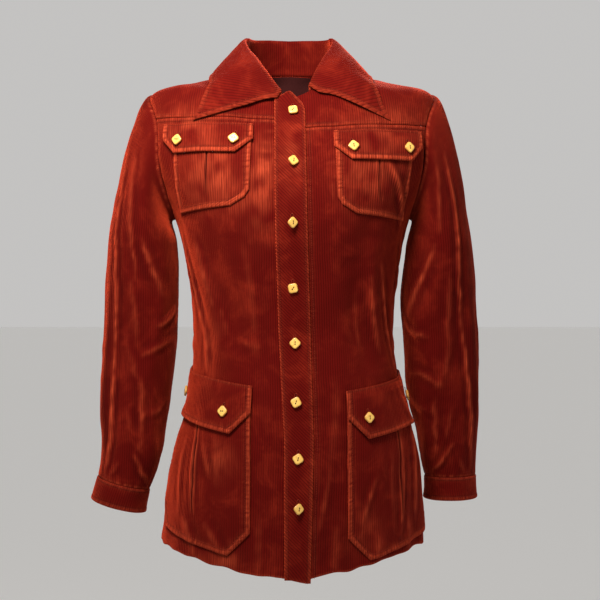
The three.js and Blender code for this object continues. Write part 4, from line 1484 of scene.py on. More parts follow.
@dataclass
class Body:
    """Fronts, yokes, back and front band."""

    armhole_wide: float = 21.0
    armhole_narrows: float = 0.6
    side_seam_back: float = 6.0
    side_seam_moves: float = 1.5
    yoke_seam_rises: float = 8.0
    yoke_seam_gap: float = 0.008
    band_wide: float = 42.0
    band_lap: float = 13.0
    band_taper: float = 8.0
    taper_from: float = -330.0
    corner_wide: float = 19.0
    corner_high: float = 27.0
    peak: float = 9.0
    band_top: float = 9.75
    hem_mark: float = 25.0
    folded_edge: float = 1.4
    skirt_high: float = 470.0
    front_wide: float = 250.0
    front_armhole: float = 125.0
    yoke_wide: float = 160.0
    yoke_armhole: float = 55.0
    shoulder_long: float = 118.0
    back_wide: float = 460.0
    back_armhole: float = 180.0
    band_high: float = 670.0

    def armhole(self, sign: int, face: int, turn: Array) -> tuple[Array, Array]:
        """The armhole's angle and level: turn is 0 at the underarm and 180 at the shoulder."""
        up = (1 - np.cos(np.radians(turn))) / 2
        wide = self.armhole_wide * np.sin(np.radians(turn)) * (1 - self.armhole_narrows * up * up)
        return sign * (90 + face * wide), UNDERARM + (SHOULDER - UNDERARM) * up

    def side_seam(self, sign: int, level: Array) -> Array:
        """The side seam's angle."""
        return sign * (90 + self.side_seam_back * np.clip((UNDERARM - level) / self.side_seam_moves, 0, 1))

    def yoke_seam(self, cut: SideCut, angle: Array) -> Array:
        """The yoke seam's level."""
        rise = self.yoke_seam_rises * np.abs(np.sin(np.radians(angle)))
        return TORSO.level_at(angle, cut.yoke_seam + rise)

    def yoke_turn(self, cut: SideCut) -> float:
        """The turn at which the armhole meets the yoke seam."""
        turns = np.linspace(60, 170, 2201)
        angle, level = self.armhole(cut.side.value, -1, turns)
        return float(turns[np.argmax(level >= self.yoke_seam(cut, angle))])

    def band_angle(self, level: Array, beside: float) -> Array:
        """The angle of a line that runs beside the band's centre line."""
        centre = np.interp(TORSO.height(np.zeros(np.shape(level)), level), CENTRE_HEIGHTS, CENTRE_PLACES)
        return TORSO.angle_at(centre + beside, level)

    def front_edge(self, sign: int, level: Array) -> Array:
        """The edge of each front under the band."""
        angle = self.band_angle(level, -self.band_wide / 2 + self.band_lap)
        return angle + sign * TORSO.gap_angle(angle, level, SEAM_GAP) / 2

    def shoulder_seam(self, sign: int, level: Array, face: int) -> Array:
        """The shoulder seam's angle, half a gap before (-1) or behind (1) the side line."""
        side = np.full(np.shape(level), 90.0 * sign)
        return sign * (90 + face * TORSO.gap_angle(side, level, SEAM_GAP) / 2)

    def skirt_levels(self) -> Array:
        """Ring levels from the hem to the underarm, close together at the hem."""
        return UNDERARM * graded(self.skirt_high, MESH_STEP)[:-3]

    def shoulder_levels(self) -> Array:
        """Ring levels along the shoulder seam, above its end at the armhole."""
        return SHOULDER + (NECK - SHOULDER) * graded(self.shoulder_long, MESH_STEP)[1:]

    def beside_yoke_seam(self, cut: SideCut, armhole: Array, part: Array, above: bool) -> tuple[Array, Array]:
        """The grid between the front edge and the armhole, on one side of the yoke seam.

        Args:
            cut: the side's own places.
            armhole: the angle at which each row ends.
            part: how far up each row is, from 0 to 1.
            above: whether the grid starts at the seam and not ends there.

        Returns:
            The grid's angles and levels.
        """
        shares = graded(self.yoke_wide if above else self.front_wide, MESH_STEP)
        edge = np.full(len(armhole), 7.2 if above else 6.8)
        half_gap = self.yoke_seam_gap / 2
        for _ in range(SEAM_ROUNDS):
            angle = between(self.front_edge(cut.side.value, edge), armhole, shares)
            seam = self.yoke_seam(cut, angle) + (half_gap if above else -half_gap)
            low, high = (seam, SHOULDER) if above else (UNDERARM, seam)
            grid = low + (high - low) * part[:, None]
            edge = grid[:, 0]
        return angle, grid

    def front(self, cut: SideCut) -> Cloth:
        """A front from the hem to its yoke seam."""
        sign = cut.side.value
        shares = graded(self.front_wide, MESH_STEP)
        levels = self.skirt_levels()
        seam = self.side_seam(sign, levels)
        end = seam - sign * TORSO.gap_angle(seam, levels, SEAM_GAP) / 2
        skirt = between(self.front_edge(sign, levels), end, shares)
        armhole, level = self.armhole(sign, -1, self.yoke_turn(cut) * graded(self.front_armhole, MESH_STEP))
        part = (level - UNDERARM) / (self.yoke_seam(cut, armhole) - UNDERARM)
        chest, chest_levels = self.beside_yoke_seam(cut, armhole, part, False)
        angle = np.concatenate([skirt, chest])
        grid = np.concatenate([spread(levels, shares), chest_levels])
        piece = torso_cloth(f"front_{cut.side.word}_cloth", angle, grid, 0.0, CLOTH, 40 + sign)
        rows = len(levels)
        piece.sink_seam(piece.rest[:rows, -1], SIDE_SEAM)
        piece.sink_seam(piece.rest[rows - 1 :, -1], ARMHOLE_SEAM)
        piece.sink_seam(piece.border("last"), YOKE_SEAM)
        piece.round_off(piece.border("first"), self.folded_edge)
        self.mark_hem(piece)
        piece.topstitch(piece.border("last"), FRONT_TOP_ROW)
        if cut.side is Side.LEFT:
            beside_band = self.band_wide - self.band_lap + 4.5
            piece.topstitch(piece.border("left"), StitchRow(beside_band, 0.0, 0.35, 0.2))
        return piece

    def mark_hem(self, piece: Cloth) -> None:
        """A turned hem: a faint double thickness and a soft line where it is caught up inside."""
        gap, along = nearest_on_line(piece.rest, piece.border("first"))
        piece.height += 0.35 * np.exp(-((gap / 14.0) ** 4))
        piece.height -= 0.3 * bell(gap - self.hem_mark, 1.8)
        wave = waves(along, piece.seed + 5, (34.0, 49.0, 68.0)) * np.exp(-gap / 24.0)
        whole = length_of(piece.rest[0])
        inside = np.sin(math.pi * np.clip(along / whole, 0, 1)) ** 0.5
        piece.height += 1.8 * wave * inside
        piece.rest[..., 2] += 3.2 * inside * np.roll(wave, 6, axis=1)

    def yoke(self, cut: SideCut) -> Cloth:
        """A front yoke, over the shoulder to its seam."""
        sign = cut.side.value
        first = self.yoke_turn(cut)
        turns = first + (180 - first) * graded(self.yoke_armhole, MESH_STEP)
        armhole, level = self.armhole(sign, -1, turns)
        seam = self.yoke_seam(cut, armhole)
        part = (level - seam) / (SHOULDER - seam)
        armhole[-1] = self.shoulder_seam(sign, np.array([float(SHOULDER)]), -1)[0]
        chest, chest_levels = self.beside_yoke_seam(cut, armhole, part, True)
        shares = graded(self.yoke_wide, MESH_STEP)
        levels = self.shoulder_levels()
        shoulder = between(self.front_edge(sign, levels), self.shoulder_seam(sign, levels, -1), shares)
        angle = np.concatenate([chest, shoulder])
        grid = np.concatenate([chest_levels, spread(levels, shares)])
        piece = torso_cloth(f"front_yoke_{cut.side.word}_cloth", angle, grid, 0.0, CLOTH, 60 + sign)
        rows = len(turns)
        piece.sink_seam(piece.rest[:rows, -1], YOKE_ARMHOLE_SEAM)
        piece.sink_seam(piece.rest[rows - 1 :, -1], YOKE_SHOULDER_SEAM)
        piece.sink_seam(piece.border("first"), YOKE_SEAM)
        piece.topstitch(piece.border("first"), YOKE_ROW)
        return piece

    def back(self) -> Cloth:
        """The back, from the hem to the shoulder seams and the neck."""
        shares = graded(self.back_wide, MESH_STEP)
        levels = self.skirt_levels()
        seam = self.side_seam(1, levels)
        armhole, upper = self.armhole(1, 1, 180 * graded(self.back_armhole, MESH_STEP))
        armhole[-1] = self.shoulder_seam(1, np.array([float(SHOULDER)]), 1)[0]
        shoulder = self.shoulder_levels()
        skirt = seam + TORSO.gap_angle(seam, levels, SEAM_GAP) / 2
        start = np.concatenate([skirt, armhole, self.shoulder_seam(1, shoulder, 1)])
        angle = start[:, None] + (360 - 2 * start)[:, None] * shares
        signed = np.where(angle > 180, angle - 360, angle)
        grid = spread(np.concatenate([levels, upper, shoulder]), shares)
        base = TORSO.base(angle, grid)
        across = lengths_along(base, 1)
        across -= across[:, -1:] / 2
        grain = np.stack([across, lengths_along(base, 0)], -1)
        piece = torso_cloth("back_cloth", signed, grid, 0.0, CLOTH, 71, grain)
        rows, arm_rows = len(levels), len(levels) + len(upper)
        for side in (0, -1):
            piece.sink_seam(piece.rest[:rows, side], SIDE_SEAM)
            piece.sink_seam(piece.rest[rows - 1 : arm_rows, side], ARMHOLE_SEAM)
            piece.sink_seam(piece.rest[arm_rows - 1 :, side], BACK_SHOULDER_SEAM)
        piece.round_off(piece.border("first"), self.folded_edge)
        self.mark_hem(piece)
        return piece

    def band(self) -> Cloth:
        """The front band, cut on the bias and topstitched along both edges."""
        levels = self.band_top * graded(self.band_high, MESH_STEP)
        shares = graded(self.band_wide, 2.2)
        z = TORSO.height(np.zeros(len(levels)), levels)
        taper = self.band_taper * np.clip((self.taper_from - z) / (self.taper_from - z[0]), 0, 1)
        up = np.clip(1 - (z[-1] - z) / self.corner_high, 0, 1)
        right = taper - self.band_wide / 2
        left = self.band_wide / 2 - self.corner_wide * (1 - np.sqrt(1 - up * up))
        beside = between(right, left, shares)
        level = spread(levels, shares)
        angle = np.stack([self.band_angle(levels, beside[:, j]) for j in range(len(shares))], 1)
        bias = np.stack([(beside + z[:, None]) * DIAGONAL, (z[:, None] - beside) * DIAGONAL], -1)
        piece = torso_cloth("placket_cloth", angle, level, BAND_GAP + BAND_CLOTH, BAND_CLOTH, 83, bias)
        peaked = bell(beside + 1, 9) * np.clip(1 - (z[-1] - z) / 24, 0, 1)[:, None] ** 2
        piece.rest[..., 2] += self.peak * peaked
        low = np.clip(1 - (z - z[0]) / 40, 0, 1)[:, None] ** 2
        piece.rest[..., 2] -= low * (2 + 5 * np.clip((beside + 4) / 20, 0, 1))
        for edge in ("left", "right"):
            line = piece.border(edge)
            piece.round_off(line, 1.5)
            piece.topstitch(line, BAND_ROW)
        for end in ("first", "last"):
            piece.round_off(piece.border(end), self.folded_edge)
        return piece


# Pockets and flaps


@dataclass
class Patch:
    """A pocket or a flap on one side, laid on its front."""

    kind: str
    rows: tuple[CutRow, ...]
    cut: SideCut
    edge: float
    top: float
    gap: float
    thickness: float
    pleat: float | None = None  # distance of the pleat from the inner edge

    def row_value(self, key: str, drop: Array) -> Array:
        """A column of the table at a drop."""
        return np.interp(drop, [r.drop for r in self.rows], [getattr(r, key) for r in self.rows])

    def place(self, along: Array, drop: Array) -> tuple[Array, Array]:
        """The angle and level of a place on the piece."""
        z = self.top - drop + self.row_value("climb", drop) * along / 100
        return TORSO.walk(self.cut.side.value, self.edge, z, along)

    def cloth(self) -> Cloth:
        """The piece with its pleat, its folded edges and its stitches."""
        first, last = self.rows[0].drop, self.rows[-1].drop
        drops = first + (last - first) * graded(last - first, 2.6)
        drops = np.unique(np.concatenate([drops, [r.drop for r in self.rows]]))
        inner, outer = self.row_value("inner", drops), self.row_value("outer", drops)
        width = float(outer.max() - inner.min())
        extra = () if self.pleat is None else (self.pleat,)
        shares = graded(width, 2.6, extra)
        along = between(inner, outer, shares)
        drop = spread(drops, shares)
        angle, level = self.place(along, drop)
        lift = self.row_value("lift", drop)
        sign = self.cut.side.value
        grain = np.stack([along * sign, drop], -1)
        seed = 100 + 10 * len(self.kind) + sign
        name = f"{self.kind}_{self.cut.side.word}_cloth"
        piece = torso_cloth(name, angle, level, self.gap + self.thickness + lift, self.thickness, seed, grain)
        self.finish(piece, along, drop)
        return piece

    def finish(self, piece: Cloth, along: Array, drop: Array) -> None:
        """Folds, stitches, abraded pile, painted highlight and painted shade of the piece."""
        free = piece.border("left", "last", "-right")
        # How much lighter the band is, by abrasion and painted highlight: more on the chest
        worn = 0.62 if self.kind.startswith("chest") else 0.42
        if self.pleat is None:
            piece.round_off(free, 1.8)
            piece.topstitch(free, StitchRow(7.2, 0.8, 0.7, 0.5, worn))
            piece.topstitch(piece.border("first"), FLAP_TOP_ROW)
            return
        piece.round_off(free, 1.6)
        piece.topstitch(free, StitchRow(7.0, 0.75, 0.65, 0.5, worn))
        self.open_pleat(piece, along, drop)

    def open_pleat(self, piece: Cloth, along: Array, drop: Array) -> None:
        """Two folds that meet in a line down the pocket."""
        low = self.rows[-1].drop - (14 if self.kind.startswith("chest") else 42)
        fade = np.clip((low - drop) / 14, 0, 1) ** 0.5
        wander = 1.2 * waves(drop, piece.seed + 3, (61.0, 97.0))
        inner, outer = self.row_value("inner", drop), self.row_value("outer", drop)
        width = float(self.rows[0].outer - self.rows[0].inner)
        middle = inner + (outer - inner) * (self.pleat / width)
        gap = along - middle - wander
        piece.height -= fade * 1.6 * bell(gap, 1.0)
        piece.height += fade * 0.7 * np.exp(-((np.abs(gap) - 3.2) ** 2) / 7.0)
        # Painted shade in the slit; the folds beside it are lighter, abraded, with painted highlight
        piece.darken(fade * bell(gap, 1.5))
        piece.wear(fade * 0.5 * bell(np.abs(gap) - 2.2, 1.1))


# Sleeves and cuffs


@dataclass
class Arm:
    """One sleeve with its cuff."""

    side: Side
    body: Body
    start_under: float = 45.0
    start_top: float = 70.0
    end_under: float = 70.0
    end_top: float = 150.0
    lift_under: float = 0.05
    lift_top: float = 0.35
    armhole_middle: float = -95.0
    cuff_high: float = 33.0
    cuff_flare: float = 1.5
    places_round: int = 113
    cuff_places_round: int = 97
    last_ring: float = 5.0
    tucked_in: float = 1.3  # how far the last row reaches into the cuff
    # The painted shade round the arm: on its rear side between two angles, and on its inner side
    shade_from: float = 136.0
    shade_to: float = 200.0
    inner_wide: float = 42.0
    flat_at_seams: float = 16.0

    def ring(self, key: str, u: Array) -> Array:
        """One column of the sleeve's ring table at ring numbers."""
        return smooth_column(columns_of(SLEEVE_RINGS[self.side])[key], u)

    def ring_point(self, u: Array, around: Array, out: Array | float = 0.0) -> Array:
        """A point of a sleeve ring at an angle round the arm."""
        u, around, out = np.broadcast_arrays(u, around, out)
        c, s = np.cos(np.radians(around)), np.sin(np.radians(around))
        wide = self.ring("half", u) + out
        tilt = np.radians(self.ring("tilt", u))
        x = self.side.value * (self.ring("x", u) - wide * c * np.cos(tilt))
        y = self.ring("y", u) - (self.ring("deep", u) + out) * s
        return np.stack([x, y, self.ring("z", u) - wide * c * np.sin(tilt)], -1)

    def folds(self, u: Array, around: Array) -> Array:
        """How far the sleeve's long folds push it out."""
        radius = (self.ring("half", u) + self.ring("deep", u)) / 2
        total = np.zeros(np.broadcast(u, around).shape)
        for fold in SLEEVE_FOLDS:
            along = np.clip((u - fold.top) / (fold.low - fold.top), 0, 1)
            across = np.radians(around - (fold.start + (fold.end - fold.start) * along)) * radius
            total = total + fold.out * bell(across, fold.wide) * np.sin(math.pi * along) ** 0.7
        return total

    def armhole_point(self, around: Array) -> Array:
        """The middle of the cloth round the armhole."""
        wrapped = np.mod(around, 360.0)
        front = wrapped <= 180
        turn = np.where(front, wrapped, 360 - wrapped)
        angle_front, level = self.body.armhole(self.side.value, -1, turn)
        angle_back, _ = self.body.armhole(self.side.value, 1, turn)
        return TORSO.point(np.where(front, angle_front, angle_back), level, -CLOTH / 2)

    def cap_start(self, around: Array) -> tuple[Array, Array, Array]:
        """Where the cap starts in the armhole, the way it leaves, and how high up that is (0 to 1)."""
        turn = np.where(around <= 180, around, 360 - around)
        face = np.where(around <= 180, -1, 1)
        angle, level = self.body.armhole(self.side.value, face, turn)
        point = self.armhole_point(around)
        middle = np.stack([point[:, 0], np.zeros(len(point)), np.full(len(point), self.armhole_middle)], -1)
        inwards = middle - point
        run = self.armhole_point(around + 2) - self.armhole_point(around - 2)
        into = unit(np.cross(TORSO.normal(angle, level), run))
        into *= np.sign((into * inwards).sum(-1, keepdims=True))
        up = (1 - np.cos(np.radians(turn))) / 2
        lift = self.lift_under + (self.lift_top - self.lift_under) * up
        inwards[:, 0] = 0
        leaves = unit(np.array([float(self.side.value), 0, 0]) - unit(inwards) * lift[:, None])
        facing = np.clip((leaves * into).sum(-1), 0, 1)
        bend = np.sqrt(1 - facing**2)
        return point + into * (SEAM_GAP + bend * CLOTH / 2)[:, None], leaves, up

    def middle(self, around: Array) -> tuple[Array, Array]:
        """The sleeve's middle from the armhole to the cuff seam, and each row's ring number."""
        start, leaves, up = self.cap_start(around)
        end = self.ring_point(0.0, around)
        down = unit(self.ring_point(0.2, around) - end)
        pull = leaves * (self.start_under + (self.start_top - self.start_under) * up)[:, None]
        drop = down * (self.end_under + (self.end_top - self.end_under) * up)[:, None]
        f = graded(140, MESH_STEP)[:-4][:, None, None]
        cap = (
            start * (2 * f**3 - 3 * f**2 + 1)
            + pull * (f**3 - 2 * f**2 + f)
            + end * (3 * f**2 - 2 * f**3)
            + drop * (f**3 - f**2)
        )
        shares = np.concatenate([np.linspace(0, 1, 109)[:-1], 1 - np.array([1.2, 0.6, 0.0]) / 324])
        u = self.last_ring * shares[:, None]
        arm = self.ring_point(u, around[None, :], self.folds(u, around[None, :]))
        numbers = np.concatenate([f[:, 0, 0] * 1.6 - 1.6, u[:, 0]])
        return np.concatenate([cap, arm]), numbers

    def crease_lines(self, rest: Array, around: Array, numbers: Array) -> list[tuple[Array, Crease]]:
        """Each crease with its line on the sleeve's grid of points.

        Args:
            rest: the grid.
            around: the columns' angles round the arm.
            numbers: the rows' ring numbers.

        Returns:
            The lines and their creases.
        """
        lines = []
        for crease in SLEEVE_FRONT_CREASES[self.side] + SLEEVE_CREASES:
            path = crease.path()
            rows = np.interp(path[:, 1], numbers, np.arange(len(numbers)))
            columns = np.interp(path[:, 0], around, np.arange(len(around)))
            lines.append((rest[rows.round().astype(int), columns.round().astype(int)], crease))
        return lines

    def shade(self, around: Array) -> Array:
        """Painted shade on the rear side of the arm and on its inner side, towards the body."""
        behind = 1 / (1 + np.exp(-(around - self.shade_from) / 2.5))
        behind = behind / (1 + np.exp((around - self.shade_to) / 8.0))
        return 0.65 * behind + 0.45 * bell(np.minimum(around, 360 - around), self.inner_wide)

    def sleeve(self) -> Cloth:
        """The sleeve with its creases, its seams and its gathers at the cuff."""
        around = np.linspace(0, 360, self.places_round)
        middle, numbers = self.middle(around)
        facing = tube_facing(middle)
        rest = middle + facing * CLOTH / 2
        rest[-1] += unit(rest[-1] - rest[-2]) * self.tucked_in
        across = lengths_along(rest, 1)
        half = across[:, [self.places_round // 2]]
        grain = np.stack([(across - half) * self.side.value, lengths_along(rest, 0)], -1)
        name = f"sleeve_{self.side.word}_cloth"
        piece = Cloth(name, rest, facing, grain, CLOTH, True, seed=90 + self.side.value)
        creases, rubbed = crease_height(rest, self.crease_lines(rest, around, numbers))
        piece.height += creases
        piece.height += 0.9 * unevenness(rest, 15, 42, 2.0) + 0.26 * unevenness(rest, 16, 18, 1.6)
        for end in ("first", "last"):
            gap, _ = nearest_on_line(rest, piece.border(end))
            piece.height *= np.clip(gap / self.flat_at_seams, 0, 1) ** 0.7
        # The creases' painted highlight and shade, and painted shade behind the arm and on its inner side
        piece.wear(rubbed)
        piece.darken(np.maximum(-rubbed, self.shade(around)))
        piece.sink_seam(piece.border("first"), SLEEVE_CAP_SEAM)
        piece.sink_seam(piece.border("last"), SLEEVE_CUFF_SEAM)
        piece.sink_seam(piece.border("left"), UNDERARM_SEAM)
        piece.sink_seam(piece.border("right"), UNDERARM_SEAM)
        gap, along = nearest_on_line(rest, piece.border("last"))
        gathers = waves(along, piece.seed, (11.0, 15.5, 21.0)) * np.exp(-gap / 16.0)
        piece.height += 1.1 * gathers * np.clip(gap / 5.0, 0, 1)
        return piece

    def cuff(self) -> Cloth:
        """The cuff: a plain closed band with a row of stitches along each edge."""
        around = np.linspace(0, 360, self.cuff_places_round)
        f = graded(self.cuff_high, 2.2)[:, None]
        tilt = math.radians(SLEEVE_RINGS[self.side][-1].tilt)
        axis = np.array([self.side.value * math.sin(tilt), 0, -math.cos(tilt)])
        middle = self.ring_point(np.array(self.last_ring), around[None, :], self.cuff_flare * f)
        middle = middle + (SEAM_GAP + f * self.cuff_high)[..., None] * axis
        facing = tube_facing(middle)
        rest = middle + facing * CUFF_CLOTH / 2
        across = lengths_along(rest, 1)
        half = across[:, [self.cuff_places_round // 2]]
        grain = np.stack([across - half, lengths_along(rest, 0)], -1)
        name = f"cuff_{self.side.word}_cloth"
        piece = Cloth(name, rest, facing, grain, CUFF_CLOTH, True, seed=120 + self.side.value)
        piece.height += 0.5 * unevenness(rest, 25, 30, 1.0)
        piece.sink_seam(piece.border("first"), CUFF_SEAM)
        piece.round_off(piece.border("last"), 1.9)
        piece.topstitch(piece.border("last"), CUFF_ROW)
        piece.topstitch(piece.border("first"), CUFF_TOP_ROW)
        return piece


# Collar


@dataclass
class Collar:
    """The wide pointed collar, in one piece with its stand."""

    shift: float = 9.0
    fall_curve: float = 1.15
    roll_out: float = 3.0
    stand_lean: float = 9.0
    columns: int = 190
    stand_rows: int = 13

    @staticmethod
    def level_ways(angle: Array, level: Array) -> Array:
        """The way that the torso faces, turned level."""
        ways = TORSO.normal(angle, level)
        ways[:, 2] = 0
        return unit(ways)

    def cloth(self) -> Cloth:
        """The collar with its stitched edge."""
        ends = np.array([1, 0.9985, 0.996])
        across = np.concatenate([-ends, np.linspace(-0.992, 0.992, self.columns), ends[::-1]])
        sign = np.where(across < 0, -1.0, 1.0)
        at = (1 - np.abs(across)) * (len(COLLAR_STATIONS) - 1)
        value = {key: smooth_column(column, at) for key, column in columns_of(COLLAR_STATIONS).items()}
        neck = sign * value["neck"] + self.shift * np.abs(across) ** 4
        neck_level = np.full(len(neck), float(NECK))
        outer = sign * value["outer"]
        rise = value["rise"]
        share = rise / COLLAR_STATIONS[-1].rise
        up = np.array([0, 0, 1.0])
        rows = []
        level_way = self.level_ways(neck, neck_level)
        for f in np.linspace(0, 1, self.stand_rows)[:-1]:
            point = TORSO.point(neck, neck_level, COLLAR_GAP + (COLLAR_CLEAR - COLLAR_GAP) * f)
            rows.append(point + up * (rise * f)[:, None] - level_way * (self.stand_lean * share * f)[:, None])
        for s in np.concatenate([np.linspace(0, 0.98, 42), [0.99, 0.996, 1.0]]):
            angle = neck + (outer - neck) * s ** value["sweep"]
            level = NECK + (value["level"] - NECK) * s ** value["fall"]
            out = self.roll_out * math.sin(math.pi * s**0.6) - self.stand_lean * (1 - s) ** 2
            point = TORSO.point(angle, level, COLLAR_CLEAR) + up * (rise * (1 - s**self.fall_curve))[:, None]
            rows.append(point + self.level_ways(angle, level) * (share * out)[:, None])
        middle = np.array(rows)
        facing = grid_facing(middle, False)
        hint = TORSO.normal(np.array([180.0]), np.array([9.0]))[0]
        if np.dot(facing[-8, len(across) // 2], hint) < 0:
            facing = -facing
        rest = middle + facing * COLLAR_CLOTH / 2
        run = lengths_along(rest, 1)
        half = run[:, len(across) // 2][:, None]
        from_middle = run - half
        edge = np.where(from_middle < 0, run[:, :1] - half, run[:, -1:] - half)
        neck_edge = edge[self.stand_rows - 1 : self.stand_rows]
        sideways = from_middle - 0.55 * (edge - neck_edge) * np.abs(across) ** 2
        grain = np.stack([sideways, lengths_along(rest, 0)], -1)
        piece = Cloth("collar_cloth", rest, facing, grain, COLLAR_CLOTH, back_is_pile=True, seed=131)
        piece.height += 0.8 * unevenness(rest, 35, 52, 1.0) + 0.2 * unevenness(rest, 36, 18, 1.0)
        free = piece.border("left", "last", "-right")
        piece.round_off(free, 1.9)
        piece.topstitch(free, COLLAR_ROW)
        return piece


# Buttons and buttonholes


@dataclass
class SquareButton:
    """A square button with round corners, a flat face and two holes along its diagonal, filled with thread.
    """

    side: float = 12.5
    round: float = 3.6
    thick: float = 3.2
    hole_apart: float = 3.6
    hole_radius: float = 0.85
    corner_points: int = 7

    def outline(self, inset: float) -> Array:
        """The outline at a distance inside the edge."""
        radius = max(self.round - inset, 0.35)
        corner = max(self.side / 2 - inset - radius, 0.05)
        points = []
        for quarter in range(4):
            c, s = math.cos(math.radians(90 * quarter)), math.sin(math.radians(90 * quarter))
            for a in np.radians(np.linspace(0, 90, self.corner_points)):
                x, y = corner + radius * math.cos(a), corner + radius * math.sin(a)
                points.append((x * c - y * s, x * s + y * c))
        return np.array(points)

    def body(self, name: str) -> bpy.types.Mesh:
        """The button's closed body, with how near each point is to its rim."""
        size = 4 * self.corner_points
        rings = [np.column_stack([self.outline(inset), np.full(size, z)]) for inset, z in BUTTON_PROFILE]
        points = np.concatenate(rings + [np.array([[0, 0, 0.0], [0, 0, self.thick]])])
        last = (len(rings) - 1) * size
        pairs = [(j, (j + 1) % size) for j in range(size)]
        faces = []
        for start in range(0, last, size):
            faces += [(start + j, start + k, start + size + k, start + size + j) for j, k in pairs]
        bottom, top = len(points) - 2, len(points) - 1
        for j, k in pairs:
            faces += [(bottom, k, j), (top, last + j, last + k)]
        rims = [np.full(size, max(0.0, 1 - inset / 1.6) * 0.85) for inset, _ in BUTTON_PROFILE]
        rim = np.concatenate(rims + [[0.8, 0.0]])
        shell = bpy.data.meshes.new(name)
        shell.from_pydata((points * MM).tolist(), [], faces)
        layer = shell.attributes.new("rim", "FLOAT", "POINT")
        layer.data.foreach_set("value", rim.astype(np.float32))
        shell.polygons.foreach_set("use_smooth", np.ones(len(faces), bool))
        return shell

    @staticmethod
    def as_thread(verts: list, smooth: bool) -> None:
        """Gives the faces at some points the thread's material."""
        for face in {face for vert in verts for face in vert.link_faces}:
            face.material_index = 1
            face.smooth = smooth

    def mesh(self, name: str, resin: bpy.types.Material, thread: bpy.types.Material) -> bpy.types.Mesh:
        """The button and the thread in its holes."""
        shell = self.body(name)
        shell.materials.append(resin)
        shell.materials.append(thread)
        made = bmesh.new()
        made.from_mesh(shell)
        turned = Matrix.Rotation(math.radians(45), 4, "Z")
        radius = self.hole_radius * MM
        for end in (-1, 1):
            place = turned @ Matrix.Translation((end * self.hole_apart / 2 * MM, 0, 3.09 * MM))
            hole = bmesh.ops.create_cone(
                made, cap_ends=True, segments=12, radius1=radius, radius2=radius, depth=0.3 * MM, matrix=place
            )
            self.as_thread(hole["verts"], False)
        stretch = Matrix.Diagonal((self.hole_apart / 2 + 0.3, 0.42, 0.32, 1.0))
        place = turned @ Matrix.Translation((0, 0, self.thick * MM)) @ stretch
        strand = bmesh.ops.create_uvsphere(made, u_segments=10, v_segments=6, radius=MM, matrix=place)
        self.as_thread(strand["verts"], True)
        made.to_mesh(shell)
        made.free()
        return shell


@dataclass(frozen=True)
class SewnOn:
    """Where a button sits: its place on the torso, how far out, its turn and its lean."""

    name: str
    angle: float
    level: float
    out: float
    turn: float
    lean: float = 0.0


@dataclass
class Fastenings:
    """All the buttons and their buttonholes."""

    body: Body
    patches: dict[str, Patch]
    hole_length: float = 15.0
    hole_wide: float = 1.5
    hole_up: float = 4.2

    def sewn_on(self) -> list[SewnOn]:
        """Every button's place."""
        found = []
        for number, button in enumerate(FRONT_BUTTONS, 1):
            angle, level = TORSO.front_place(np.array(button.x), np.array(button.height))
            out = BAND_GAP + BAND_CLOTH + BUTTON_GAP
            name = f"button_{number}"
            found.append(SewnOn(name, float(angle), float(level), out, button.turn, button.lean))
        for cut in SIDE_CUTS:
            word, sign = cut.side.word, cut.side.value
            for kind, which, place, drop, turn in FLAP_BUTTONS:
                along = cut.hip_button if place is None else place
                flap = self.patches[f"{kind}_flap_{word}"]
                angle, level = flap.place(np.array(along), np.array(drop))
                out = flap.gap + BAND_CLOTH + float(flap.row_value("lift", drop)) + BUTTON_GAP
                name = f"{kind}_button_{word}_{which}"
                found.append(SewnOn(name, float(angle), float(level), out, turn * sign))
        return found

    @staticmethod
    def cloth_under(spot: SewnOn) -> tuple[Array, Array, float]:
        """The smooth surface's point at a button, the way it faces, and the cloth's height over it."""
        angle, level = np.array(spot.angle), np.array(spot.level)
        base = TORSO.base(angle, level)
        height = float(TORSO.folds(angle, base) + TORSO.creases(base[None])[0][0])
        return base, TORSO.normal(angle, level), height

    def frame_at(self, spot: SewnOn) -> Matrix:
        """The place and turn of a button, as the part has it, on the creased cloth."""
        base, facing, height = self.cloth_under(spot)
        place = base + facing * (spot.out + height)
        turn = Vector((0, 0, 1)).rotation_difference(Vector(facing)).to_matrix().to_4x4()
        lifted = Vector((0, 0, 6.0 * abs(math.sin(math.radians(spot.lean))) * MM))
        lean = Matrix.Translation(lifted) @ Matrix.Rotation(math.radians(spot.lean), 4, "Y")
        spin = Matrix.Rotation(math.radians(spot.turn), 4, "Z")
        return Matrix.Translation(Vector(place) * MM) @ turn @ lean @ spin

    def buttons(self, finishes: Finishes) -> None:
        """Makes the buttons in place of the part's."""
        shape = SquareButton()
        for spot in self.sewn_on():
            mesh = shape.mesh(spot.name + "_resin", finishes.resin, finishes.dark_thread)
            mesh.transform(self.frame_at(spot))
            made = place_in_scene(spot.name + "_resin", mesh)
            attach(made, BODY)
            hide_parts(spot.name)
            log.info("%s: %d faces", made.name, len(mesh.polygons))

    def buttonholes(self) -> list[Array]:
        """A closed line round each buttonhole, just above its button's middle."""
        lines = []
        for spot in self.sewn_on():
            base, facing, height = self.cloth_under(spot)
            upward = unit(TORSO.base(np.array(spot.angle), np.array(spot.level) + 0.02) - base)
            aside = np.cross(upward, facing)
            around = np.linspace(0, 2 * math.pi, 41)
            x = self.hole_wide * np.sign(np.cos(around)) * np.abs(np.cos(around)) ** 0.7
            y = self.hole_length / 2 * np.sign(np.sin(around)) * np.abs(np.sin(around)) ** 0.45 + self.hole_up
            centre = base + facing * (spot.out - BUTTON_GAP + height + 0.25)
            lines.append(centre + x[:, None] * aside + y[:, None] * upward)
        return lines


# Surroundings


@dataclass(frozen=True)
class Lamp:
    """A square lamp: its place and aim in metres, its size, power and colour."""

    name: str
    place: tuple[float, float, float]
    aim: tuple[float, float, float]
    size: float
    watts: float
    colour: tuple[float, float, float]


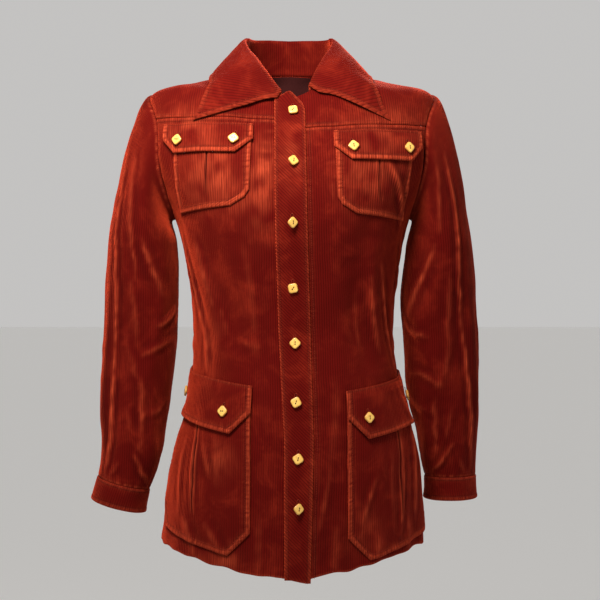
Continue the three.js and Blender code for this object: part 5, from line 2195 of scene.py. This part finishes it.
LAMPS = (
    Lamp("lamp_above", (-0.22, -0.64, 0.4), (-0.02, -0.1, -0.16), 0.34, 17.5, (1.0, 0.93, 0.86)),
    Lamp("lamp_back", (0.2, 0.8, 0.75), (0, 0.08, -0.2), 0.6, 15.0, (1.0, 0.94, 0.88)),
)


@dataclass
class Studio:
    """Camera, floor and lights."""

    camera_place: tuple[float, float, float] = (0.0112, -1.8, -0.297)
    half_view: float = 0.42 / 1.8
    floor_height: float = -1.6
    sky: float = 0.55

    def camera(self) -> None:
        """The camera, level, as far from the jacket as the photographer stood."""
        data = bpy.data.cameras.new("camera")
        data.sensor_width = 36.0
        data.lens = 18.0 / self.half_view
        data.clip_start, data.clip_end = 0.05, 120.0
        made = place_in_scene("camera", data)
        made.location = self.camera_place
        made.rotation_euler = (math.radians(90), 0, 0)
        bpy.context.scene.camera = made

    def floor(self, finishes: Finishes) -> None:
        """A large plain floor."""
        mesh = bpy.data.meshes.new("floor")
        r, z = 60.0, self.floor_height
        mesh.from_pydata([(-r, -r, z), (r, -r, z), (r, r, z), (-r, r, z)], [], [(0, 1, 2, 3)])
        mesh.materials.append(finishes.floor)
        made = place_in_scene("floor", mesh)

    def light(self, lamp: Lamp) -> None:
        """One soft square lamp."""
        data = bpy.data.lights.new(lamp.name, "AREA")
        data.size, data.energy, data.color = lamp.size, lamp.watts, lamp.colour
        made = place_in_scene(lamp.name, data)
        made.location = lamp.place
        made.rotation_euler = (Vector(lamp.aim) - Vector(lamp.place)).to_track_quat("-Z", "Y").to_euler()

    def lights(self) -> None:
        """A lamp above in front, a broad lamp above behind, and an even sky."""
        for lamp in LAMPS:
            self.light(lamp)
        world = bpy.data.worlds.new("sky")
        world.use_nodes = True
        world.node_tree.nodes["Background"].inputs[0].default_value = (1.0, 0.985, 0.97, 1.0)
        world.node_tree.nodes["Background"].inputs[1].default_value = self.sky
        bpy.context.scene.world = world
        bpy.context.scene.view_settings.view_transform = "Standard"


# The whole jacket


def patches_of(cut: SideCut) -> dict[str, Patch]:
    """The pockets and flaps of one side."""
    chest = (cut, cut.chest_edge, cut.chest_top, CHEST_GAP)
    hip = (cut, cut.hip_edge, cut.hip_top, HIP_GAP)
    made = (
        Patch("chest_pocket", CHEST_POCKET, *chest, CLOTH, 56.0),
        Patch("chest_flap", CHEST_FLAP, *chest, BAND_CLOTH),
        Patch("hip_pocket", HIP_POCKET, *hip, CLOTH, 84.0),
        Patch("hip_flap", HIP_FLAP, *hip, BAND_CLOTH),
    )
    return {f"{patch.kind}_{cut.side.word}": patch for patch in made}


# What the pieces that differ between the sides were cut to, in metres: width, length and area
CUT_SIZES = {
    Side.RIGHT: {
        "front": (0.267, 0.619, 0.131),
        "yoke": (0.219, 0.192, 0.0167),
        "sleeve": (0.464, 0.546, 0.147),
    },
    Side.LEFT: {
        "front": (0.275, 0.605, 0.137),
        "yoke": (0.240, 0.213, 0.0206),
        "sleeve": (0.464, 0.552, 0.146),
    },
}

# The pockets' and flaps' sizes, which are the same on both sides
PATCH_SIZES = {
    "chest_pocket": (0.113, 0.106, 0.0103),
    "chest_flap": (0.129, 0.056, 0.0053),
    "hip_pocket": (0.179, 0.219, 0.0350),
    "hip_flap": (0.187, 0.092, 0.0113),
}


def build_cloth(body: Body, patches: dict[str, Patch]) -> list[tuple[Cloth, Cut]]:
    """Every piece of cloth with what it was cut to."""
    pieces: list[tuple[Cloth, Cut]] = []
    for cut in SIDE_CUTS:
        word = cut.side.word
        sizes = CUT_SIZES[cut.side]
        pieces.append((body.front(cut), Cut(*sizes["front"], Hung.HUNG, (f"front_yoke_{word}",))))
        pieces.append((body.yoke(cut), Cut(*sizes["yoke"], Hung.HUNG, ("back",))))
        arm = Arm(cut.side, body)
        pieces.append((arm.sleeve(), Cut(*sizes["sleeve"], Hung.HUNG, (f"front_yoke_{word}", "back"))))
        pieces.append((arm.cuff(), Cut(0.248, 0.033, 0.0080, Hung.HUNG, (f"sleeve_{word}",))))
        for kind, size in PATCH_SIZES.items():
            made = patches[f"{kind}_{word}"].cloth()
            pieces.append((made, Cut(*size, Hung.LAID, (f"front_{word}",))))
    pieces.append((body.back(), Cut(0.478, 0.817, 0.280, Hung.HUNG, ("front_yoke_right", "front_yoke_left"))))
    pieces.append((body.band(), Cut(0.043, 0.674, 0.0265, Hung.LAID, ("front_right", "front_left"))))
    pieces.append((Collar().cloth(), Cut(0.575, 0.148, 0.058, Hung.FOLDED, ("back",))))
    return pieces


def corners(bounds: tuple[Vector, Vector]) -> list[list[float]]:
    """The two corners of a box as plain lists."""
    return [list(corner) for corner in bounds]


def main() -> None:
    """Builds the jacket and its surroundings."""
    logging.basicConfig(level=logging.INFO, format="%(name)s: %(message)s")
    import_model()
    studio = Studio()
    studio.camera()
    finishes = Finishes()
    body = Body()
    patches = {name: patch for cut in SIDE_CUTS for name, patch in patches_of(cut).items()}
    thread = stitch_tree(finishes.thread)
    lines: dict[str, list[Array]] = {}
    for piece, cut in build_cloth(body, patches):
        hand_over(piece, finishes)
        group = piece.name.split("_")[0]
        lines.setdefault(group, []).extend(piece.lines_of_stitches())
    for seed, (group, rows) in enumerate(lines.items()):
        sew(f"topstitching_{group}", StitchRun(rows), thread, seed)
    fastenings = Fastenings(body, patches)
    fastenings.buttons(finishes)
    holes = StitchRun(fastenings.buttonholes(), length=1.5, gap=-0.6, radius=0.5)
    sew("buttonholes", holes, thread, THREAD_SEED)
    studio.floor(finishes)
    studio.lights()


if __name__ == "__main__":
    main()
